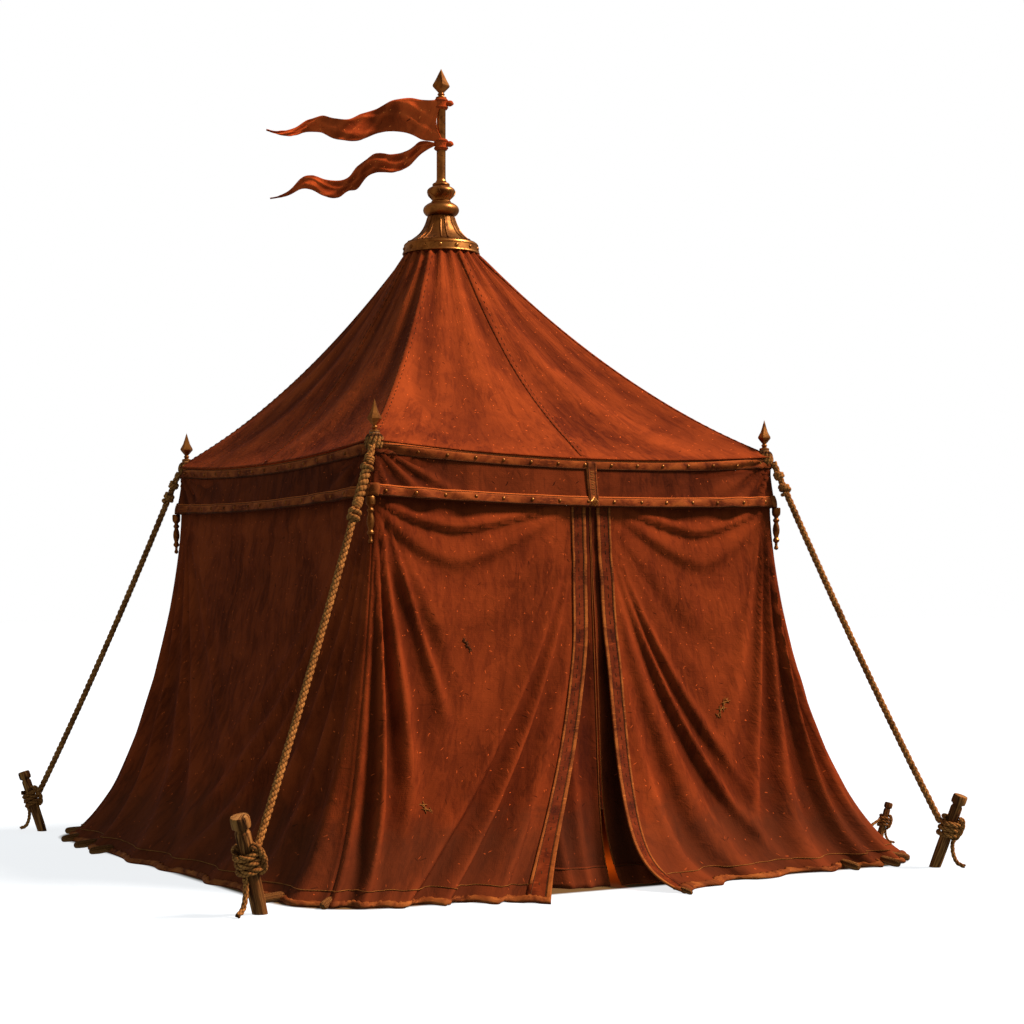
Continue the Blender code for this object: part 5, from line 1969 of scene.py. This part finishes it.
band = turned("crown_band_shape", [
    (0.238, 0.0), (0.2465, 0.002), (0.2490, 0.007), (0.2470, 0.013), (0.2440, 0.016), (0.2375, 0.052),
    (0.2395, 0.055), (0.2390, 0.062), (0.2340, 0.069), (0.226, 0.0715),
], 72)
parts = [(band, raised_to(BAND_FOOT))]
for k in range(BAND_RIVETS):
    angle = math.tau * (k + 0.3) / BAND_RIVETS
    outward = around(angle, 1.0, 0.18)
    parts.append((rivet, standing(around(angle, 0.2405, BAND_FOOT + 0.034), outward, 1.05)))
dress(gathered("crown_band_bronze", parts), bronze, "bronze", ["crown_band"], smooth_angle=32)
put_away(band)

skirt_profile = [(0.224, 0.0), (0.224, 0.005), (0.214, 0.009)] + eased(
    [(0.192, 0.017), (0.140, 0.060), (0.105, 0.115), (0.084, 0.1755)], 16)
skirt = turned("crown_skirt_shape", skirt_profile, 64)
bm = bmesh.new()
bm.from_mesh(skirt.data)
for k in range(RIBS):
    middle_angle = math.tau * (k + 0.5) / RIBS
    for sign in (-1, 1):
        line = []
        for n in range(21):
            height = 0.008 + 0.166 * n / 20
            radius = value_at(skirt_profile, height)
            half = 0.021 - 0.010 * n / 20
            line.append(around(middle_angle + sign * half / radius, radius + 0.0005, height))
        sweep(bm, line, [0.0058 - 0.0020 * n / 20 for n in range(21)], 7)
bmesh.ops.translate(bm, verts=bm.verts, vec=(0, 0, SKIRT_FOOT))
dress(object_from("crown_skirt_bronze", bm), dark_bronze, "bronze", ["crown_skirt"], smooth_angle=40)
put_away(skirt)

ring_profile = [(0.070, 0.0)] + eased(
    [(0.080, 0.002), (0.102, 0.013), (0.1155, 0.038), (0.108, 0.063), (0.084, 0.082), (0.070, 0.0885)], 20)
ring = turned("crown_ring_bronze", ring_profile, 64)
ring.data.transform(raised_to(RING_FOOT))
dress(ring, bronze, "bronze", ["crown_ring"], smooth_angle=50)

baluster_profile = [(0.064, 0.0), (0.064, 0.006)] + eased(
    [(0.057, 0.014), (0.064, 0.028), (0.082, 0.048), (0.0905, 0.068), (0.085, 0.086), (0.066, 0.099),
     (0.051, 0.106)], 22) + [(0.0555, 0.110), (0.0565, 0.116), (0.0530, 0.122), (0.042, 0.1285)]
baluster = turned("crown_baluster_shape", baluster_profile, 56)
bm = bmesh.new()
bm.from_mesh(baluster.data)
for k in range(LEAVES):
    middle_angle = math.tau * k / LEAVES
    line = []
    for n in range(-12, 13):
        share = n / 12
        height = 0.076 - 0.054 * (1 - abs(share)) ** 0.7
        radius = value_at(baluster_profile, height)
        line.append(around(middle_angle + share * math.pi / LEAVES, radius, height))
    sweep(bm, line, 0.0038, 6)
bmesh.ops.translate(bm, verts=bm.verts, vec=(0, 0, BALUSTER_FOOT))
dress(object_from("crown_baluster_bronze", bm), bronze, "bronze", ["crown_baluster"], smooth_angle=40)
put_away(baluster)

tube = turned("mast_tube_bronze", [
    (0.033, 0.0), (0.0345, 0.004), (0.0340, 0.010), (0.0295, 0.015), (0.0290, 0.025), (0.0290, 0.520),
    (0.0320, 0.526), (0.0320, 0.5375),
], 36)
tube.data.transform(raised_to(TUBE_FOOT))
dress(tube, bronze, "bronze", ["mast_tube"], smooth_angle=40)

neck = turned("tip_neck", [
    (0.033, 0.0), (0.035, 0.003), (0.034, 0.010), (0.020, 0.015), (0.0175, 0.020), (0.0235, 0.026),
    (0.0235, 0.030), (0.0175, 0.037), (0.0185, 0.042),
], 32)
head = turned("tip_head", [
    (0.017, 0.038), (0.052, 0.074), (0.0560, 0.082), (0.0540, 0.090),
    (0.033, 0.128), (0.0150, 0.165), (0.0, 0.1925),
], 4, math.radians(-20))
parts = [(neck, raised_to(TIP_FOOT)), (head, raised_to(TIP_FOOT))]
dress(gathered("mast_tip_bronze", parts), bronze, "bronze", ["mast_finial"], smooth_angle=32)
put_away(neck)
put_away(head)
print("crown: band, skirt, ring, baluster, tube, tip")

# %% [markdown]
# ## Bronze at the corners
#
# Each post ends in a small spear point, and a turned drop hangs under each corner of the
# valance. One of each is modelled, and every corner gets its own copy.

# %% Corner spear points and drops
FINIAL_FOOT = 2.5053
DROP_OUT = 0.073
DROP_TOP = VALANCE_BOTTOM - SKIN
finial_neck = turned("finial_neck", [
    (0.029, 0.0), (0.0305, 0.003), (0.0295, 0.010), (0.016, 0.015), (0.0125, 0.019), (0.0178, 0.025),
    (0.0178, 0.030), (0.0120, 0.037), (0.0125, 0.040),
], 28)
finial_head = turned("finial_head", [
    (0.0115, 0.037), (0.036, 0.066), (0.0415, 0.074), (0.0400, 0.082),
    (0.0230, 0.112), (0.0125, 0.145), (0.0, 0.185),
], 6, math.radians(12))
drop = turned("drop", [
    (0.002, -0.262), (0.0115, -0.257), (0.0138, -0.247), (0.0085, -0.234), (0.0090, -0.218),
    (0.0190, -0.208), (0.0200, -0.198), (0.0130, -0.186), (0.0135, -0.178), (0.0200, -0.158),
    (0.0218, -0.138), (0.0190, -0.114), (0.0135, -0.098), (0.0135, -0.091), (0.0200, -0.083),
    (0.0200, -0.075), (0.0125, -0.065), (0.0130, -0.059), (0.0250, -0.045), (0.0270, -0.030),
    (0.0268, -0.006), (0.0240, -0.001),
], 24)
for name, (signs, _, _) in CORNERS.items():
    outward = Vector((signs[0], signs[1], 0)).normalized()
    up = Matrix.Translation(post_axis(signs) + Vector((0, 0, FINIAL_FOOT)))
    dress(gathered("finial_bronze_" + name, [(finial_neck, up), (finial_head, up)]), bronze, "bronze",
          ["corner_finial_" + name], smooth_angle=32)
    down = Matrix.Translation(post_axis(signs) + outward * DROP_OUT + Vector((0, 0, DROP_TOP)))
    dress(gathered("drop_bronze_" + name, [(drop, down)]), dark_bronze, "bronze", ["corner_drop_" + name],
          smooth_angle=32)
for model in (finial_neck, finial_head, drop, rivet, stitch):
    put_away(model)
print("corners dressed:", len(CORNERS))

# %% [markdown]
# ## The pennant
#
# The pennant is light cloth with two tails, tied round the tube at its top and bottom. The
# wind carries it to the left in long waves. Each tail is a grid between two drawn edges,
# and each bow of the edges is also a bow to and fro, so that light and shade change along it.

# %% Pennant
PENNANT_TURN = math.radians(150.0)
FLOW = Vector((math.cos(PENNANT_TURN), math.sin(PENNANT_TURN), 0))
ACROSS = Vector((-FLOW.y, FLOW.x, 0))
UPPER_TAIL = [
    (-0.028, 4.788, 4.500), (0.050, 4.782, 4.518), (0.120, 4.786, 4.532), (0.215, 4.802, 4.577),
    (0.320, 4.783, 4.590), (0.411, 4.733, 4.577), (0.500, 4.702, 4.532), (0.575, 4.657, 4.521),
    (0.661, 4.667, 4.534), (0.751, 4.693, 4.584), (0.841, 4.667, 4.595), (0.915, 4.615, 4.563),
    (1.005, 4.580, 4.556), (1.085, 4.590, 4.584),
]
LOWER_TAIL = [
    (0.040, 4.508, 4.486), (0.125, 4.526, 4.447), (0.205, 4.475, 4.365), (0.302, 4.437, 4.321),
    (0.400, 4.442, 4.321), (0.466, 4.408, 4.289), (0.525, 4.366, 4.222), (0.578, 4.303, 4.211),
    (0.645, 4.277, 4.168), (0.720, 4.277, 4.168), (0.800, 4.300, 4.204), (0.867, 4.281, 4.210),
    (0.931, 4.224, 4.187), (0.995, 4.186, 4.172), (1.070, 4.170, 4.165),
]
# Painted light and shade along each tail: pairs of a tone and a place along the tail.
UPPER_PAINTED_LIGHT = [(0.70, -0.1), (0.80, 0.24), (0.20, 0.28), (0.30, 0.62), (0.60, 0.80), (0.35, 0.84), (0.45, 1.1)]
LOWER_PAINTED_LIGHT = [(0.45, 0.0), (0.40, 0.30), (0.25, 0.50), (0.30, 0.72), (0.50, 0.86), (0.25, 1.1)]
TAIL_COUNT = 140
TAIL_STRETCH = 1.03
TAIL_FRONT = 0.036


def tail_place(tail, tones, sway, bow, seed):
    """A tail: u runs from the tube to the tip, v from the upper edge to the lower one."""
    line = smooth_route(tail, TAIL_COUNT)

    def place(u, v):
        where = min(max(u, 0.0), 1.0) * TAIL_COUNT
        n = min(int(where), TAIL_COUNT - 1)
        along, high, low = line[n].lerp(line[n + 1], where - n)
        v = min(max(v, 0.0), 1.0)
        along += bow * math.sin(math.pi * v) * max(0.0, 1 - u * 9)
        wave = math.sin((along - 0.04) * 14.0) * (0.014 + 0.034 * along) * sway * smooth_step(along / 0.10)
        wave += TAIL_FRONT * (1 - smooth_step(along / 0.16))
        rumple = crest(v * 2.2 + along * 3.1, seed) * 0.010 * smooth_step(along / 0.15) * (1 - u)
        rumple += crest(along * 7.0 - v * 1.3, seed + 5.0) * 0.006 * smooth_step(along / 0.15)
        far = along * TAIL_STRETCH
        point = FLOW * far + ACROSS * (wave + rumple) + Vector((0, 0, high + (low - high) * v))
        # The tone is painted light and shade: the listed bands, and the rumples' crests and hollows.
        return point, value_at(tones, along) + 18.0 * rumple
    return place


for name, tail, tones, sway, bow, seed, size in (
    ("pennant_upper", UPPER_TAIL, UPPER_PAINTED_LIGHT, 1.0, 0.058, 2.0, (1.15, 0.27)),
    ("pennant_lower", LOWER_TAIL, LOWER_PAINTED_LIGHT, -1.0, 0.0, 6.0, (1.20, 0.17)),
):
    place = tail_place(tail, tones, sway, bow, seed)
    piece = hang_cloth(name, 150, 16, place, size, VIEW_BACK, 0.0030)
    dress(piece, pennant_cloth, "pennant_cloth", ["pennant"])
    note_cloth(piece, "hung", ["mast_tube_bronze"])

# %% [markdown]
# ## The pennant's ties
#
# The pennant is tied round the tube at its top and bottom. Each tie is a gathered sleeve
# of the same cloth, bound by two cords, with a short ear of cloth that sticks out.

# %% Ties of the pennant
TIES = {"top": 4.760, "bottom": 4.500}
SLEEVE = [
    (0.031, -0.034), (0.039, -0.033), (0.0425, -0.020), (0.0405, 0.0),
    (0.043, 0.020), (0.039, 0.034), (0.031, 0.035),
]
UP = Vector((0, 0, 1))
for name, height in TIES.items():
    bm = bmesh.new()
    centre = UP * height
    sleeve = eased(SLEEVE, 18)
    # The sleeve, cords and ear take a low fixed fold tone, so the finish paints them in shade.
    sweep(bm, [centre + UP * z for r, z in sleeve], [r for r, z in sleeve], 24, fold=0.30)
    for turn_at in (-0.022, 0.022):
        cord = winding(centre + UP * turn_at, UP, VIEW_RIGHT, 0.039, 1.05, 0.004, 1.0, 24)
        sweep(bm, cord, 0.0075, 8, fold=0.20)
    ear = centre + VIEW_BACK * 0.010 + VIEW_RIGHT * 0.030
    bends = smooth_route([ear, ear + VIEW_RIGHT * 0.028 + UP * 0.004, ear + VIEW_RIGHT * 0.050], 8)
    sweep(bm, bends, [0.012, 0.015, 0.018, 0.0195, 0.020, 0.019, 0.016, 0.011, 0.004], 10, fold=0.35)
    dress(object_from("pennant_knot_" + name, bm), pennant_cloth, "pennant_cloth", ["pennant_tie_" + name])
print("pennant: 2 tails, 2 ties")

# %% [markdown]
# ## The posts and the mast inside
#
# The mast and the four posts are plain round poles, and their built solids already have the
# right shape. They keep it, and get the wood's finish with its grain running upwards.

# %% Wood of the poles
DARK_WOOD = (0.070, 0.026, 0.010)
BROWN_WOOD = (0.20, 0.085, 0.030)
PALE_WOOD = (0.32, 0.150, 0.055)
pole_wood, tree, shader = new_finish("pole_wood", 0.6)
upright = stretched(tree, node(tree, "TexCoord").outputs["Object"], (48.0, 48.0, 2.4))
grain = patches(tree, upright, 1.0, 7.0, 0.7, 0.62)
pole_colour = ramp(tree, grain, (0.34, DARK_WOOD), (0.52, BROWN_WOOD), (0.68, PALE_WOOD))
finish_surface(tree, shader, pole_colour, grain, 0.6, 0.004)
for name in ["mast_pole"] + ["corner_post_" + corner for corner in CORNERS]:
    pole = bpy.data.objects[name]
    for slot in pole.material_slots:
        slot.material = pole_wood
print("poles finished:", 1 + len(CORNERS))

# %% [markdown]
# ## Say which pieces are cloth
#
# Every cloth is declared with the size it was cut to, how it is held, and what is sewn on.
# Canvas hardly stretches, so a cut is as long and wide as the hung cloth is when one walks
# along it over all its folds. Hardly any of the cuts is a rectangle: the walls widen towards
# the ground and the gores narrow towards the crown. So each has its own area as well.

CUTS = {
    "wall_cloth_left": ((4.10, 2.65), 8.25),
    "wall_cloth_back": ((4.42, 2.65), 8.72),
    "wall_cloth_right": ((4.40, 2.70), 8.73),
    "door_cloth_left": ((1.70, 2.93), 4.07),
    "door_cloth_right": ((2.35, 2.79), 4.48),
    "curtain_cloth_left": ((1.01, 2.53), 2.39),
    "curtain_cloth_right": ((1.08, 2.52), 2.24),
    "roof_cloth_front": ((2.80, 2.33), 2.91),
    "roof_cloth_left": ((2.80, 2.19), 2.68),
    "roof_cloth_back": ((2.80, 2.25), 2.74),
    "roof_cloth_right": ((2.80, 2.33), 2.98),
    "valance_cloth_front": ((2.90, 0.31), 0.86),
    "valance_cloth_left": ((2.90, 0.31), 0.86),
    "valance_cloth_back": ((2.90, 0.31), 0.86),
    "valance_cloth_right": ((2.90, 0.31), 0.86),
    "pennant_upper": ((1.28, 0.32), 0.189),
    "pennant_lower": ((1.26, 0.16), 0.132),
}
for name, cloth in cloths.items():
    flat, area = CUTS[name]
    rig.sheet(**cloth, flat=flat, area=area, with_pieces=sewn[name])
print("cloths:", len(cloths), "with", sum(len(parts) for parts in sewn.values()), "pieces sewn on")

# %% [markdown]
# ## Light
#
# A hazy sun stands to the right and in front, so the door side glows and the left wall
# falls into shade. The sun's disc is wide, which gives soft edges to the shadows. A small
# warm lamp inside lights the slit of the door.

# %% Sun and lamp
SUN_FROM = Vector((0.56, -0.38, 0.735))
SUN_STRENGTH = 5.4
SUN_WIDTH = math.radians(14.0)
SUN_COLOUR = (1.0, 0.95, 0.88)
LAMP_AT = (0.05, -1.05, 0.42)
LAMP_STRENGTH = 50.0
LAMP_COLOUR = (1.0, 0.24, 0.03)
LAMP_SIZE = 0.08

bpy.ops.object.light_add(type="SUN", location=SUN_FROM * 10)
sun = bpy.context.object
sun.name = "hazy_sun"
sun.data.energy = SUN_STRENGTH
sun.data.angle = SUN_WIDTH
sun.data.color = SUN_COLOUR
sun.rotation_euler = (-SUN_FROM).to_track_quat("-Z", "Y").to_euler()
bpy.ops.object.light_add(type="POINT", location=LAMP_AT)
door_lamp = bpy.context.object
door_lamp.name = "door_glow"
door_lamp.data.energy = LAMP_STRENGTH
door_lamp.data.color = LAMP_COLOUR
door_lamp.data.shadow_soft_size = LAMP_SIZE
door_lamp.visible_camera = False
print("lamps:", sun.name, "and", door_lamp.name)

# %% [markdown]
# ## Floor
#
# The floor is plain and pale. It glows a little, so that it stays white in the shade,
# except under the tent and close to it, where it turns dark brown: painted shadow on the
# ground inside the tent and a narrow painted contact shadow round the hem. That dark patch
# is a square with round corners, as the hem is, and a point's distance from it is worked out
# from the centre of its nearest corner. The floor throws no light back at the cloth, or the
# shaded wall would turn pale.

# %% Floor
FLOOR_SIZE = 240
FLOOR_GLOW = 0.80
FOOTPRINT_STRAIGHT = WALL_HALF + HEM_SPREAD - HEM_CORNER
CONTACT_SHADOW_WIDE = 0.05
GROUND_PAINTED_SHADOW = (0.16, 0.08, 0.03)
GROUND_FAR = (0.24, 0.24, 0.25)

bpy.ops.object.select_all(action="DESELECT")
bpy.ops.mesh.primitive_plane_add(size=FLOOR_SIZE, location=(0, 0, 0))
floor = bpy.context.object
floor.name = "floor"
floor_paint, tree, shader = new_finish("floor_pale", 0.95, 0.0)
shader.inputs["Emission Strength"].default_value = FLOOR_GLOW
away = worked(tree, "VectorMath", "SUBTRACT", node(tree, "TexCoord").outputs["Object"], CENTRE)
away = worked(tree, "VectorMath", "ABSOLUTE", away)
away = worked(tree, "VectorMath", "SUBTRACT", away, (FOOTPRINT_STRAIGHT, FOOTPRINT_STRAIGHT, 1.0))
away = worked(tree, "VectorMath", "MAXIMUM", away, (0.0, 0.0, 0.0))
away = worked(tree, "VectorMath", "LENGTH", away)
# The glow fades to nothing at the hem and the ground turns dark brown: painted shadow under the tent and a painted
# contact shadow close to it.
glow = ramp(tree, away, (HEM_CORNER, 0.0), (HEM_CORNER + CONTACT_SHADOW_WIDE, 1.0))
feed(tree, shader.inputs["Emission Color"], glow)
feed(tree, shader.inputs["Base Color"], mix(tree, glow, GROUND_PAINTED_SHADOW, GROUND_FAR))
floor.data.materials.append(floor_paint)
floor.visible_diffuse = False
floor.visible_glossy = False
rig.stage(floor)
print("floor:", FLOOR_SIZE, "m wide")

# %% [markdown]
# ## Air
#
# The open air is white to the eye, but the light that it gives is cool and soft, and bronze
# finds it warmer and dimmer still. So its colour and strength depend on the kind of ray
# that reaches it.

# %% Air
AIR_SEEN = (1.0, 1.0, 1.0)
AIR_COLOUR = (0.55, 0.82, 1.0)
AIR_LIGHT = 0.48
AIR_SHEEN = (1.0, 0.84, 0.68)
AIR_GLOSS = 0.28

world = bpy.data.worlds.new("air")
world.use_nodes = True
bpy.context.scene.world = world
tree = world.node_tree
air = tree.nodes["Background"]
rays = node(tree, "LightPath").outputs
level = node(tree, "MapRange", Value=rays["Is Glossy Ray"], To_Min=AIR_LIGHT, To_Max=AIR_GLOSS)
level = node(tree, "MapRange", Value=rays["Is Camera Ray"], To_Min=level.outputs[0], To_Max=1.0)
tint = mix(tree, rays["Is Glossy Ray"], AIR_COLOUR, AIR_SHEEN)
feed(tree, air.inputs["Strength"], level.outputs["Result"])
feed(tree, air.inputs["Color"], mix(tree, rays["Is Camera Ray"], tint, AIR_SEEN))
bpy.context.scene.view_settings.view_transform = "Standard"
print("air light:", AIR_LIGHT, "sheen:", AIR_GLOSS)

# %% [markdown]
# ## Sizes, and the end
#
# The dressed tent has to keep the built one's size, so both boxes are written down.

# %% Write the sizes and finish
dressed_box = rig.bounds()
with open("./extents.json", "w") as sizes:
    json.dump({
        "cad": [[float(x) for x in corner] for corner in built_box],
        "visual": [[float(x) for x in corner] for corner in dressed_box],
    }, sizes)
print("built", built_box, "dressed", dressed_box)
